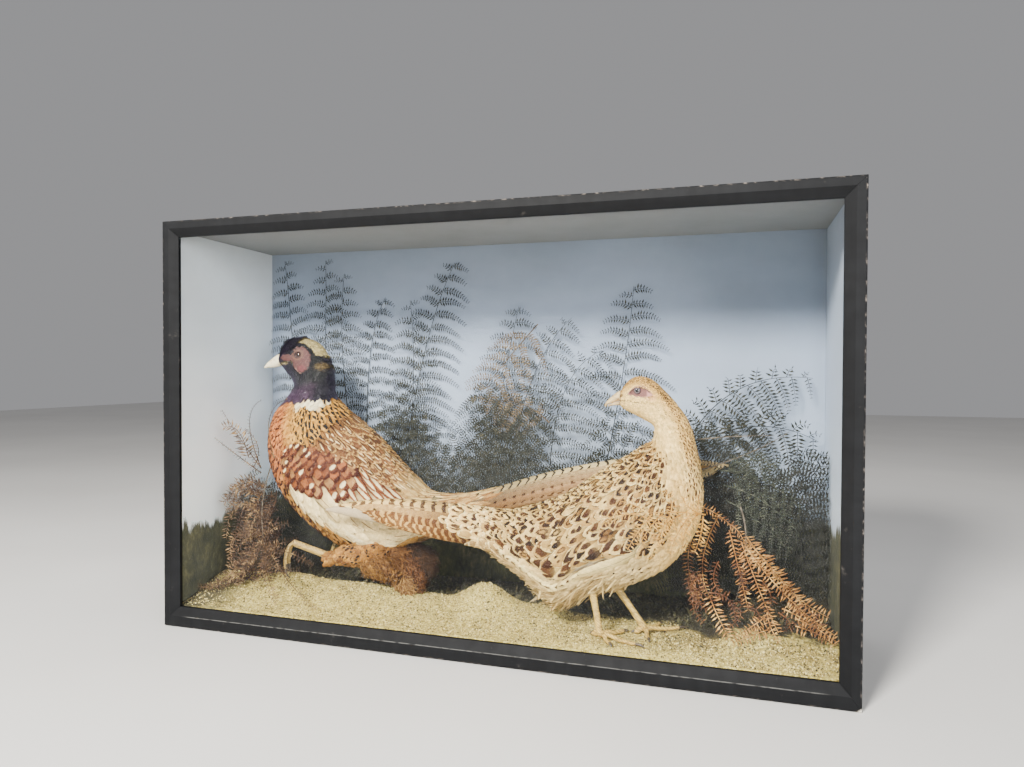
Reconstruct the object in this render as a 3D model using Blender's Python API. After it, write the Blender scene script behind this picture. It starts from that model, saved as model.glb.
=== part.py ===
"""A glazed case with a hen and a cock pheasant on sandy groundwork, among dried bracken.

Metres, +Z up. X runs along the front of the case, the glass faces -Y, and the origin is the
middle of the case's underside. The hen stands in front, facing +X with her head turned back. The
cock crouches behind, facing -X, and his tail passes behind her.
"""

import math

import bmesh
import bpy
from mathutils import Vector

# The case
CASE_WIDTH = 0.950
CASE_HEIGHT = 0.600
CASE_DEPTH = 0.268
BOARD = 0.012
BACK_BOARD = 0.008
FRAME_THICKNESS = 0.0125
FRAME_FLAT = 0.0115
FRAME_RAIL_FLAT = 0.0165
FRAME_BEVEL = 0.0115
BEVEL_DEPTH = 0.0075
EDGE_ROUND = 0.0022
GLASS = 0.0025
GAP = 0.0003

FRONT = -CASE_DEPTH / 2
INNER_X = CASE_WIDTH / 2 - BOARD
FLOOR = BOARD
CEILING = CASE_HEIGHT - BOARD
BACK_FACE = 0.119
GLASS_FRONT = FRONT + FRAME_THICKNESS + GAP
GLASS_BACK = GLASS_FRONT + GLASS

# The groundwork
SAND_FRONT = 0.029
SAND_FLAT = 0.0335
RIDGE_Y = -0.015
GROUND_COLUMNS = 32
GROUND_ROWS = 10

# The birds' mid planes
HEN_Y = -0.055
COCK_Y = 0.020

HEN_AROUND = 18
COCK_AROUND = 14
BILL_AROUND = 10
SPAN_STEPS = 2

# A bird's body is a row of sections from the tail's root to the bill's root. Each one is the point
# on the back, the point on the belly (or crown and throat) and the half width between them.
HEN_SECTIONS = (
    ((0.002, 0.190), (0.002, 0.130), 0.017),
    ((0.042, 0.190), (0.046, 0.108), 0.031),
    ((0.082, 0.201), (0.078, 0.085), 0.042),
    ((0.116, 0.215), (0.107, 0.064), 0.048),
    ((0.150, 0.238), (0.151, 0.083), 0.0535),
    ((0.180, 0.258), (0.203, 0.098), 0.0535),
    ((0.203, 0.272), (0.250, 0.123), 0.051),
    ((0.218, 0.282), (0.279, 0.156), 0.046),
    ((0.228, 0.288), (0.293, 0.185), 0.040),
    ((0.2335, 0.292), (0.299, 0.222), 0.034),
    ((0.2355, 0.297), (0.296, 0.256), 0.029),
    ((0.2360, 0.302), (0.2890, 0.286), 0.0245),
    ((0.2360, 0.307), (0.2815, 0.313), 0.0215),
    ((0.2332, 0.312), (0.2670, 0.336), 0.0195),
    ((0.2274, 0.3156), (0.2510, 0.354), 0.0185),
    ((0.2180, 0.3205), (0.2340, 0.3695), 0.0178),
    ((0.2076, 0.3258), (0.2160, 0.3745), 0.0165),
    ((0.1974, 0.3310), (0.2025, 0.3692), 0.0132),
    ((0.1906, 0.3364), (0.1922, 0.3562), 0.0084),
)
HEN_TRUNK = (0.0, 9.4)
HEN_NECK = (9.4, 13.4)
HEN_HEAD = (13.4, 18.0)
HEN_TAIL = (
    ((-0.2320, 0.1815), (-0.2320, 0.1745), 0.0040, -0.028),
    ((-0.1800, 0.1935), (-0.1800, 0.1650), 0.0095, -0.024),
    ((-0.1200, 0.1985), (-0.1200, 0.1540), 0.0150, -0.018),
    ((-0.0600, 0.1960), (-0.0600, 0.1415), 0.0180, -0.010),
    ((0.0010, 0.1900), (0.0010, 0.1300), 0.0175, 0.0),
)

COCK_SECTIONS = (
    ((-0.088, 0.182), (-0.092, 0.152), 0.022),
    ((-0.105, 0.194), (-0.118, 0.118), 0.036),
    ((-0.135, 0.214), (-0.165, 0.090), 0.050),
    ((-0.168, 0.243), (-0.215, 0.086), 0.062),
    ((-0.200, 0.274), (-0.272, 0.106), 0.068),
    ((-0.230, 0.298), (-0.325, 0.140), 0.069),
    ((-0.252, 0.315), (-0.365, 0.180), 0.064),
    ((-0.266, 0.327), (-0.389, 0.226), 0.056),
    ((-0.274, 0.336), (-0.394, 0.270), 0.047),
    ((-0.279, 0.345), (-0.385, 0.307), 0.037),
    ((-0.282, 0.356), (-0.3635, 0.333), 0.031),
    ((-0.283, 0.372), (-0.3490, 0.352), 0.028),
    ((-0.284, 0.388), (-0.3520, 0.3655), 0.026),
    ((-0.291, 0.404), (-0.3610, 0.3740), 0.0235),
    ((-0.302, 0.420), (-0.3665, 0.3800), 0.021),
    ((-0.320, 0.430), (-0.3710, 0.3855), 0.019),
    ((-0.342, 0.4318), (-0.3755, 0.3895), 0.0165),
    ((-0.361, 0.4278), (-0.3780, 0.3905), 0.0125),
    ((-0.3730, 0.4165), (-0.3795, 0.3905), 0.0080),
)
COCK_TAIL = (
    ((0.330, 0.2490), (0.330, 0.2440), 0.003, 0.040),
    ((0.240, 0.2600), (0.240, 0.2320), 0.009, 0.035),
    ((0.150, 0.2480), (0.150, 0.2060), 0.013, 0.028),
    ((0.060, 0.2270), (0.060, 0.1800), 0.016, 0.018),
    ((-0.040, 0.1960), (-0.040, 0.1500), 0.019, 0.006),
    ((-0.105, 0.1860), (-0.105, 0.1350), 0.020, 0.0),
)
NODE_CUT = 0.0004

# The hen's folded wing, as shares of her section list and angles round the body, in degrees.
# Each row: section, upper edge, lower edge, thickness.
HEN_WING = (
    (0.75, 22, 8, 0.0015),
    (1.6, 38, -4, 0.0035),
    (2.8, 50, -26, 0.0055),
    (4.2, 54, -36, 0.0065),
    (5.6, 52, -38, 0.0065),
    (6.8, 46, -34, 0.0060),
    (7.8, 34, -22, 0.0045),
    (8.5, 16, -6, 0.0020),
)
COCK_WING = (
    (0.9, 14, -30, 0.0020),
    (1.8, 34, -42, 0.0045),
    (3.0, 44, -46, 0.0070),
    (4.2, 42, -44, 0.0080),
    (5.4, 34, -36, 0.0075),
    (6.4, 20, -24, 0.0050),
    (7.1, 4, -10, 0.0022),
)
WING_COLUMNS = 7
WING_ROOT = 0.010

# Heads: eye place (x, z), its radius, and how far its middle lies from the mid plane
HEN_EYE = (0.2150, 0.3565)
HEN_EYE_RADIUS = 0.0046
HEN_EYE_OUT = 0.0128
COCK_EYE = (-0.3330, 0.4055)
COCK_EYE_RADIUS = 0.0050
COCK_EYE_OUT = 0.0150

# Bills: rows of top and bottom points (x, z) and half width, from the root to the tip
HEN_BILL_UPPER = (
    ((0.1919, 0.3562), (0.1908, 0.3422), 0.0066),
    ((0.1862, 0.3530), (0.1852, 0.3410), 0.0055),
    ((0.1790, 0.3470), (0.1784, 0.3388), 0.0041),
    ((0.1726, 0.3404), (0.1734, 0.3356), 0.0025),
    ((0.1703, 0.3362), (0.1722, 0.3334), 0.0010),
)
HEN_BILL_LOWER = (
    ((0.1908, 0.3417), (0.1903, 0.3362), 0.0055),
    ((0.1850, 0.3404), (0.1846, 0.3361), 0.0043),
    ((0.1790, 0.3383), (0.1787, 0.3352), 0.0029),
    ((0.1752, 0.3360), (0.1752, 0.3342), 0.0013),
)
COCK_BILL = (
    ((-0.3690, 0.4105), (-0.3725, 0.3885), 0.0086),
    ((-0.3800, 0.4080), (-0.3820, 0.3866), 0.0076),
    ((-0.3920, 0.4012), (-0.3920, 0.3852), 0.0055),
    ((-0.4030, 0.3932), (-0.4015, 0.3848), 0.0032),
    ((-0.4092, 0.3868), (-0.4082, 0.3840), 0.0010),
)

# Legs: thigh top, hock, foot joint (all x, y, z), and the headings of the front toes in degrees
# from +X towards +Y, with each toe's length
HEN_NEAR_LEG = ((0.1660, -0.074, 0.122), (0.1590, -0.0750, 0.0930), (0.1698, -0.0812, 0.0420))
HEN_NEAR_FOOT = (0.1725, -0.0830)
HEN_NEAR_TOES = ((-58, 0.034), (-19, 0.061), (48, 0.046))
HEN_FAR_LEG = ((0.1880, -0.038, 0.122), (0.1866, -0.0450, 0.0920), (0.2220, -0.0440, 0.0415))
HEN_FAR_FOOT = (0.2255, -0.0480)
HEN_FAR_TOES = ((-76, 0.035), (32, 0.061), (66, 0.046))
HEN_HIND_TOE = 0.019
COCK_NEAR_LEG = ((-0.186, -0.014, 0.104), (-0.2520, -0.0270, 0.0920), (-0.3220, -0.0290, 0.1110))
COCK_NEAR_THIGH = (0.034, 0.0100)
COCK_FAR_LEG = ((-0.190, 0.056, 0.110), (-0.2350, 0.0620, 0.0920), (-0.2960, 0.0640, 0.0960))
COCK_FAR_THIGH = (0.026, 0.0080)
COCK_TOES = ((160, 0.046), (185, 0.056), (212, 0.044))
COCK_THIGH_LOBE = (-0.142, -0.012, 0.0955)
COCK_LOBE_RADII = (0.050, 0.034, 0.042)
TARSUS_RADIUS = 0.0049
TOE_RADIUS = 0.0031
CLAW_SHARE = 0.20

# Dried fern fronds: root, middle and tip of each stem, and the width of its widest part. The tall
# ones stand flat against the back, the bracken strips droop over the sand at both ends.
FERN_THICKNESS = 0.001
FERN_STEPS = 5
BACK_FERNS = (
    ((-0.402, 0.1120, 0.250), (-0.418, 0.1120, 0.450), (-0.432, 0.1120, 0.575), 0.070),
    ((-0.352, 0.1095, 0.250), (-0.348, 0.1095, 0.450), (-0.348, 0.1095, 0.572), 0.070),
    ((-0.296, 0.1070, 0.260), (-0.314, 0.1070, 0.420), (-0.310, 0.1070, 0.548), 0.065),
    ((-0.270, 0.1160, 0.220), (-0.266, 0.1160, 0.400), (-0.236, 0.1160, 0.506), 0.065),
    ((-0.205, 0.1135, 0.200), (-0.160, 0.1135, 0.420), (-0.108, 0.1135, 0.560), 0.090),
    ((-0.190, 0.1025, 0.190), (-0.178, 0.1025, 0.360), (-0.184, 0.1025, 0.499), 0.075),
    ((-0.060, 0.1080, 0.150), (-0.024, 0.1080, 0.350), (0.004, 0.1080, 0.485), 0.085),
    ((-0.020, 0.1010, 0.150), (0.022, 0.1010, 0.350), (0.092, 0.1010, 0.464), 0.080),
    ((0.060, 0.0940, 0.150), (0.076, 0.0940, 0.330), (0.142, 0.0940, 0.413), 0.085),
    ((0.130, 0.1110, 0.150), (0.170, 0.1110, 0.370), (0.187, 0.1110, 0.512), 0.100),
    ((0.262, 0.0910, 0.260), (0.337, 0.0910, 0.352), (0.443, 0.0910, 0.372), 0.045),
    ((0.262, 0.0820, 0.262), (0.360, 0.0820, 0.302), (0.450, 0.0820, 0.283), 0.050),
    ((0.280, 0.0720, 0.190), (0.385, 0.0720, 0.230), (0.446, 0.0720, 0.172), 0.050),
    ((0.280, 0.0610, 0.150), (0.362, 0.0610, 0.165), (0.420, 0.0610, 0.097), 0.055),
)
BRACKEN = (
    ((0.292, 0.010, 0.178), (0.277, 0.008, 0.122), (0.292, 0.005, 0.070), 0.014),
    ((0.318, 0.008, 0.187), (0.297, -0.002, 0.125), (0.307, -0.010, 0.078), 0.014),
    ((0.331, 0.000, 0.168), (0.344, -0.016, 0.118), (0.356, -0.030, 0.070), 0.015),
    ((0.346, -0.008, 0.156), (0.372, -0.036, 0.092), (0.391, -0.060, 0.056), 0.016),
    ((0.352, 0.012, 0.160), (0.407, 0.006, 0.094), (0.455, -0.006, 0.064), 0.020),
    ((0.381, -0.050, 0.056), (0.360, -0.066, 0.052), (0.336, -0.086, 0.046), 0.014),
    ((0.412, -0.040, 0.060), (0.438, -0.052, 0.056), (0.454, -0.068, 0.050), 0.015),
    ((-0.365, -0.062, 0.160), (-0.385, -0.068, 0.122), (-0.410, -0.074, 0.078), 0.016),
    ((-0.352, -0.066, 0.122), (-0.366, -0.078, 0.092), (-0.376, -0.092, 0.056), 0.016),
    ((-0.345, -0.072, 0.100), (-0.325, -0.088, 0.066), (-0.300, -0.104, 0.042), 0.015),
    ((-0.375, -0.058, 0.208), (-0.398, -0.061, 0.200), (-0.425, -0.064, 0.174), 0.018),
    ((-0.385, -0.055, 0.245), (-0.402, -0.057, 0.285), (-0.428, -0.060, 0.292), 0.020),
)


def collection(name, shown):
    """A collection in the scene. Helpers go in one that neither shows nor renders."""
    made = bpy.data.collections.new(name)
    bpy.context.scene.collection.children.link(made)
    made.hide_render = not shown
    return made


def clear_scene():
    for obj in list(bpy.data.objects):
        bpy.data.objects.remove(obj)


def place(mesh, name, group):
    """Puts a bmesh into the scene as a named object of a collection."""
    bmesh.ops.recalc_face_normals(mesh, faces=mesh.faces)
    data = bpy.data.meshes.new(name)
    mesh.to_mesh(data)
    mesh.free()
    obj = bpy.data.objects.new(name, data)
    group.objects.link(obj)
    if group is HELPERS:
        obj.hide_render = True
        obj.display_type = "WIRE"
    return obj


def finish(obj, colour, roughness, metallic=0.0, smooth=True):
    """Gives an object its own material, and smooth shading up to a crease."""
    material = bpy.data.materials.new(obj.name)
    material.use_nodes = True
    shader = material.node_tree.nodes["Principled BSDF"]
    shader.inputs["Base Color"].default_value = (*colour, 1.0)
    shader.inputs["Roughness"].default_value = roughness
    shader.inputs["Metallic"].default_value = metallic
    obj.data.materials.append(material)
    if smooth:
        obj.data.shade_smooth()
        obj.data.set_sharp_from_angle(angle=math.radians(50))
    return obj


def boolean(obj, other, operation):
    modifier = obj.modifiers.new(other.name, "BOOLEAN")
    modifier.operation = operation
    modifier.object = other
    modifier.solver = "EXACT"


def rings_mesh(rings):
    """A closed bmesh through rings of equal length, with flat ends."""
    mesh = bmesh.new()
    rows = [[mesh.verts.new(point) for point in ring] for ring in rings]
    for near, far in zip(rows, rows[1:]):
        for i in range(len(near)):
            j = (i + 1) % len(near)
            mesh.faces.new((near[i], near[j], far[j], far[i]))
    mesh.faces.new(reversed(rows[0]))
    mesh.faces.new(rows[-1])
    return mesh


def box(name, low, high, group):
    mesh = bmesh.new()
    bmesh.ops.create_cube(mesh, size=1.0)
    for vert in mesh.verts:
        vert.co = Vector(
            (a + b) / 2 + c * (b - a) for a, b, c in zip(low, high, vert.co)
        )
    return place(mesh, name, group)


def smoothstep(low, high, value):
    t = min(1.0, max(0.0, (value - low) / (high - low)))
    return t * t * (3 - 2 * t)


# Sections and the solids lofted through them


def flat_section(row):
    """A section row as plain numbers: back x and z, belly x and z, half width, sideways shift."""
    (back_x, back_z), (belly_x, belly_z), half = row[:3]
    return (back_x, back_z, belly_x, belly_z, half, row[3] if len(row) > 3 else 0.0)


def section_at(rows, place_along):
    """The section at a place along the rows, on a smooth curve through them."""
    count = len(rows)
    i = min(int(place_along), count - 2)
    t = place_along - i
    p = [flat_section(rows[min(max(k, 0), count - 1)]) for k in (i - 1, i, i + 1, i + 2)]
    return tuple(
        0.5 * (2 * b + (c - a) * t + (2 * a - 5 * b + 4 * c - d) * t * t
               + (3 * b - a - 3 * c + d) * t ** 3)
        for a, b, c, d in zip(*p)
    )


def surface_point(section, mid_y, angle, lift=0.0):
    """The point of a section at an angle from +Y towards the back, lifted off the surface."""
    back_x, back_z, belly_x, belly_z, half, shift = section
    centre = Vector(((back_x + belly_x) / 2, mid_y + shift, (back_z + belly_z) / 2))
    up = Vector(((back_x - belly_x) / 2, 0.0, (back_z - belly_z) / 2))
    height = up.length
    c, s = math.cos(angle), math.sin(angle)
    point = centre + Vector((0.0, half * c, 0.0)) + up * s
    normal = Vector((0.0, c / half, 0.0)) + up.normalized() * (s / height)
    return point + normal.normalized() * lift


def body_rings(rows, mid_y, start, end, around, lift=0.0):
    steps = max(2, round((end - start) * SPAN_STEPS))
    rings = []
    for k in range(steps + 1):
        section = section_at(rows, start + (end - start) * k / steps)
        rings.append([
            surface_point(section, mid_y, 2 * math.pi * i / around, lift)
            for i in range(around)
        ])
    return rings


def body_part(name, rows, mid_y, span, around, group, lift=0.0):
    """The part of a body between two places along its sections."""
    return place(rings_mesh(body_rings(rows, mid_y, *span, around, lift)), name, group)


def whole_loft(name, rows, mid_y, around, group):
    return body_part(name, rows, mid_y, (0.0, len(rows) - 1), around, group)


def wing_rings(wing, rows, mid_y, side, root):
    """Crescent rings of a folded wing on the body: an outer curve and, inside it, the root."""
    rings = []
    steps = SPAN_STEPS * (len(wing) - 1)
    padded = [((a, b), (c, d), 0.0) for a, b, c, d in wing]
    for k in range(steps + 1):
        along, upper, lower, thickness = section_at(padded, k / SPAN_STEPS)[:4]
        section = section_at(rows, along)
        outer, inner = [], []
        for j in range(WING_COLUMNS):
            share = j / (WING_COLUMNS - 1)
            angle = math.radians(lower + (upper - lower) * share)
            if side < 0:
                angle = math.pi - angle
            bulge = 0.0012 + thickness * math.sin(math.pi * (0.08 + 0.84 * share)) ** 0.6
            outer.append(surface_point(section, mid_y, angle, bulge))
            inner.append(surface_point(section, mid_y, angle, -root))
        rings.append(outer + inner[::-1])
    return rings


def tube_rings(path, radii, sides=10):
    """Rings square to a path of points, one radius at each."""
    path = [Vector(p) for p in path]
    side = Vector((0.0, 1.0, 0.0))
    rings = []
    for i, (point, radius) in enumerate(zip(path, radii)):
        ahead = (path[min(i + 1, len(path) - 1)] - path[max(i - 1, 0)]).normalized()
        side = (side - ahead * side.dot(ahead)).normalized()
        other = ahead.cross(side)
        rings.append([
            point + (side * math.cos(a) + other * math.sin(a)) * radius
            for a in (2 * math.pi * k / sides for k in range(sides))
        ])
    return rings


def ball(name, centre, radius, group, squash=(1.0, 1.0, 1.0), u=12, v=8):
    mesh = bmesh.new()
    bmesh.ops.create_uvsphere(mesh, u_segments=u, v_segments=v, radius=radius)
    for vert in mesh.verts:
        vert.co = Vector(centre) + Vector(a * b for a, b in zip(vert.co, squash))
    return place(mesh, name, group)


# The case and its frame


def frame_member(name, low, high, own_flat, low_flat, high_flat):
    """One mitred member of the frame between two outer corners (x, z), its profile swept along.

    The profile rounds over at the outer edge, runs flat to a crease, and slopes in to the glass.
    The mitres depend on how wide the flats of the two neighbours are.
    """
    low = Vector((low[0], 0.0, low[1]))
    high = Vector((high[0], 0.0, high[1]))
    along = (high - low).normalized()
    inward = Vector((-along.z, 0.0, along.x))
    round_share = EDGE_ROUND / FRAME_FLAT
    back = FRONT + FRAME_THICKNESS
    profile = (
        (0.0, 0.0, back),
        (0.0, 0.0, FRONT + EDGE_ROUND),
        (round_share * 0.3, 0.0, FRONT + EDGE_ROUND * 0.3),
        (round_share, 0.0, FRONT),
        (1.0, 0.0, FRONT),
        (1.0, 1.0, FRONT + BEVEL_DEPTH),
        (1.0, 1.0, back),
        (1.0, 0.0, back),
    )
    rings = []
    for corner, direction, side_flat in ((low, along, low_flat), (high, -along, high_flat)):
        rings.append([
            corner
            + direction * (flat * side_flat + bevel * FRAME_BEVEL + GAP / 2)
            + inward * (flat * own_flat + bevel * FRAME_BEVEL)
            + Vector((0.0, y, 0.0))
            for flat, bevel, y in profile
        ])
    mesh = bmesh.new()
    near, far = [[mesh.verts.new(point) for point in ring] for ring in rings]
    for i in range(len(profile)):
        j = (i + 1) % len(profile)
        mesh.faces.new((near[i], near[j], far[j], far[i]))
    for row in (near, far):
        mesh.faces.new((*row[:5], row[7]))
        mesh.faces.new(row[4:])
    return finish(place(mesh, name, PARTS), BLACK_WOOD, 0.35, smooth=False)


def build_case():
    half = CASE_WIDTH / 2
    front = FRONT + FRAME_THICKNESS + GAP
    rear = CASE_DEPTH / 2
    low, high = FLOOR + GAP, CEILING - GAP
    boards = (
        ("case_floor", (-half, front, 0.0), (half, rear, FLOOR)),
        ("case_top", (-half, front, CEILING), (half, rear, CASE_HEIGHT)),
        ("case_side_left", (-half, front, low), (-INNER_X, rear, high)),
        ("case_side_right", (INNER_X, front, low), (half, rear, high)),
        ("case_back", (GAP - INNER_X, BACK_FACE, low), (INNER_X - GAP, BACK_FACE + BACK_BOARD, high)),
    )
    for name, near, far in boards:
        colour = SKY if name == "case_back" else BLACK_WOOD
        finish(box(name, near, far, PARTS), colour, 0.45, smooth=False)
    pane = box("glass_pane", (GAP - INNER_X, GLASS_FRONT, low), (INNER_X - GAP, GLASS_BACK, high), PARTS)
    finish(pane, (0.85, 0.90, 0.88), 0.05, smooth=False)
    corners = ((-half, 0.0), (half, 0.0), (half, CASE_HEIGHT), (-half, CASE_HEIGHT))
    names = ("frame_bottom", "frame_right", "frame_top", "frame_left")
    flats = (FRAME_RAIL_FLAT, FRAME_FLAT, FRAME_FLAT, FRAME_FLAT)
    for i, name in enumerate(names):
        after = (i + 1) % 4
        frame_member(name, corners[i], corners[after], flats[i], flats[i - 1], flats[after])


# The sandy groundwork


def bump(x, y, centre, radii, height):
    """A smooth round hump of the ground."""
    share = math.hypot((x - centre[0]) / radii[0], (y - centre[1]) / radii[1])
    return height * (1 - smoothstep(0.0, 1.0, share))


def ground_height(x, y):
    """Sand sloping up from the glass to a ridge, and behind it a lower bed with corner banks."""
    crest = 0.046 + 0.007 * smoothstep(-0.08, -0.16, x) + 0.004 * smoothstep(0.22, 0.30, x)
    rise = smoothstep(GLASS_BACK, RIDGE_Y, y)
    fall = smoothstep(RIDGE_Y, RIDGE_Y + 0.045, y)
    height = SAND_FRONT + (crest - SAND_FRONT) * rise - (crest - 0.036) * fall
    height += bump(x, y, (-0.010, RIDGE_Y), (0.060, 0.055), 0.026)
    height += bump(x, y, (-0.430, 0.085), (0.110, 0.090), 0.075)
    height += bump(x, y, (-0.330, -0.005), (0.070, 0.045), 0.006)
    height += bump(x, y, (0.420, 0.085), (0.120, 0.090), 0.050)
    height += bump(x, y, (0.370, -0.040), (0.090, 0.050), 0.006)
    level = smoothstep(0.095, 0.122, x) * (1 - smoothstep(0.305, 0.335, x))
    level *= smoothstep(-0.119, -0.104, y) * (1 - smoothstep(0.014, 0.040, y))
    return height + (SAND_FLAT - height) * level


def build_ground():
    mesh = bmesh.new()
    x_low, x_high = GAP - INNER_X, INNER_X - GAP
    y_low, y_high = GLASS_BACK + GAP, BACK_FACE - GAP
    rows = []
    for j in range(GROUND_ROWS + 1):
        y = y_low + (y_high - y_low) * j / GROUND_ROWS
        xs = [x_low + (x_high - x_low) * i / GROUND_COLUMNS for i in range(GROUND_COLUMNS + 1)]
        rows.append([mesh.verts.new((x, y, ground_height(x, y))) for x in xs])
    for near, far in zip(rows, rows[1:]):
        for i in range(GROUND_COLUMNS):
            mesh.faces.new((near[i], near[i + 1], far[i + 1], far[i]))
    rim = rows[0] + [row[-1] for row in rows[1:]] + rows[-1][-2::-1] + [row[0] for row in rows[-2:0:-1]]
    base = [mesh.verts.new((vert.co.x, vert.co.y, FLOOR + GAP)) for vert in rim]
    for i in range(len(rim)):
        j = (i + 1) % len(rim)
        mesh.faces.new((rim[i], base[i], base[j], rim[j]))
    mesh.faces.new(base)
    finish(place(mesh, "groundwork", PARTS), SAND, 0.95)


# The birds


def wing(name, rows, table, mid_y, side, clear, group):
    """A folded wing lying on a body; with a body cutter, it stops just outside the body."""
    obj = place(rings_mesh(wing_rings(table, rows, mid_y, side, WING_ROOT)), name, group)
    if clear:
        boolean(obj, clear, "DIFFERENCE")
    return obj


def toe_path(joint, heading, length):
    """A toe from the foot joint down to the sole's level and along it, and the claw's hook."""
    turn = math.radians(heading)
    way = Vector((math.cos(turn), math.sin(turn), 0.0))
    down = Vector((0.0, 0.0, 1.0))
    sole = SAND_FLAT + GAP
    level = sole + TOE_RADIUS
    start = Vector(joint)
    points = [
        start,
        Vector((start.x, start.y, 0.0)) + way * 0.010 + down * (level + 0.003),
        Vector((start.x, start.y, 0.0)) + way * length * 0.45 + down * level,
        Vector((start.x, start.y, 0.0)) + way * length * (1 - CLAW_SHARE) + down * (level - 0.0003),
        Vector((start.x, start.y, 0.0)) + way * length * (1 - CLAW_SHARE / 2) + down * (level - 0.0002),
        Vector((start.x, start.y, 0.0)) + way * length + down * (sole + 0.0011),
    ]
    radii = (TOE_RADIUS, TOE_RADIUS, TOE_RADIUS * 0.92, TOE_RADIUS * 0.72, TOE_RADIUS * 0.50, 0.0008)
    return points, radii


def hanging_toe_path(joint, heading, length):
    """A toe of a lifted foot, drooping from the joint with its claw turned in."""
    turn = math.radians(heading)
    way = Vector((math.cos(turn), math.sin(turn), 0.0))
    down = Vector((0.0, 0.0, -1.0))
    start = Vector(joint)
    points = [
        start,
        start + way * length * 0.16 + down * length * 0.16,
        start + way * length * 0.26 + down * length * 0.50,
        start + way * length * 0.24 + down * length * 0.80,
        start + way * length * 0.14 + down * length * 1.0,
    ]
    radii = (TOE_RADIUS, TOE_RADIUS, TOE_RADIUS * 0.85, TOE_RADIUS * 0.65, 0.0008)
    return points, radii


def hen_leg(name, leg, foot_place, toes, clear):
    """Thigh, shank and foot as one solid, stopping just outside the trunk."""
    thigh_top, hock, ankle = leg
    thigh = ((*thigh_top,), (hock[0] + 0.002, hock[1], hock[2] + 0.012), (hock[0], hock[1], hock[2] - 0.004))
    obj = place(rings_mesh(tube_rings(thigh, (0.0165, 0.0085, 0.0046), 12)), name, PARTS)
    foot = (*foot_place, SAND_FLAT + GAP + TARSUS_RADIUS)
    shank = tube_rings((hock, ankle, foot), (TARSUS_RADIUS, TARSUS_RADIUS, TARSUS_RADIUS * 0.85), 8)
    add(obj, place(rings_mesh(shank), name + "_shank", HELPERS))
    for i, (heading, length) in enumerate(toes):
        path, radii = toe_path(foot, heading, length)
        add(obj, place(rings_mesh(tube_rings(path, radii, 8)), f"{name}_toe_{i}", HELPERS))
    path, radii = toe_path(foot, toes[1][0] + 170, HEN_HIND_TOE)
    hind = tube_rings(path[:1] + path[2:], radii[:1] + radii[2:], 8)
    add(obj, place(rings_mesh(hind), name + "_hind", HELPERS))
    boolean(obj, clear, "DIFFERENCE")
    return finish(obj, HORN, 0.5)


def add(obj, other):
    boolean(obj, other, "UNION")


def build_hen():
    trunk_span, neck_span, head_span = (
        (start + NODE_CUT / 0.03 * (start > 0), end) for start, end in (HEN_TRUNK, HEN_NECK, HEN_HEAD)
    )
    trunk = body_part("hen_trunk", HEN_SECTIONS, HEN_Y, trunk_span, HEN_AROUND, PARTS)
    neck = body_part("hen_neck", HEN_SECTIONS, HEN_Y, neck_span, HEN_AROUND, PARTS)
    head = body_part("hen_head", HEN_SECTIONS, HEN_Y, head_span, HEN_AROUND, PARTS)
    tail = whole_loft("hen_tail", HEN_TAIL, HEN_Y, COCK_AROUND, PARTS)
    clear = body_part("hen_clearance", HEN_SECTIONS, HEN_Y, HEN_TRUNK, HEN_AROUND, HELPERS, GAP)
    for side, word in ((-1, "right"), (1, "left")):
        name = "hen_wing_" + word
        finish(wing(name, HEN_SECTIONS, HEN_WING, HEN_Y, side, clear, PARTS), BUFF, 0.85)
        centre = (HEN_EYE[0], HEN_Y + side * HEN_EYE_OUT, HEN_EYE[1])
        finish(ball("hen_eye_" + word, centre, HEN_EYE_RADIUS, PARTS), EYE_GREY, 0.1)
        socket = ball("hen_socket_" + word, centre, HEN_EYE_RADIUS + GAP, HELPERS)
        boolean(head, socket, "DIFFERENCE")
    hen_leg("hen_leg_right", HEN_NEAR_LEG, HEN_NEAR_FOOT, HEN_NEAR_TOES, clear)
    hen_leg("hen_leg_left", HEN_FAR_LEG, HEN_FAR_FOOT, HEN_FAR_TOES, clear)
    for obj in (trunk, neck, head, tail):
        finish(obj, BUFF, 0.85)
    for name, rows in (("hen_bill_upper", HEN_BILL_UPPER), ("hen_bill_lower", HEN_BILL_LOWER)):
        finish(whole_loft(name, rows, HEN_Y, BILL_AROUND, PARTS), HORN, 0.4)


def cock_leg(cock, name, leg, thigh_radii):
    """A crouched leg: a thick feathered thigh, a level shank and drooping toes."""
    thigh_top, hock, joint = leg
    add(cock, place(rings_mesh(tube_rings((thigh_top, hock), thigh_radii, 10)), name + "_thigh", HELPERS))
    shank = tube_rings((hock, joint), (TARSUS_RADIUS * 1.15, TARSUS_RADIUS * 1.1), 8)
    add(cock, place(rings_mesh(shank), name + "_shank", HELPERS))
    for i, (heading, length) in enumerate(COCK_TOES):
        path, radii = hanging_toe_path(joint, heading, length)
        add(cock, place(rings_mesh(tube_rings(path, radii, 6)), f"{name}_toe_{i}", HELPERS))


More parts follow.
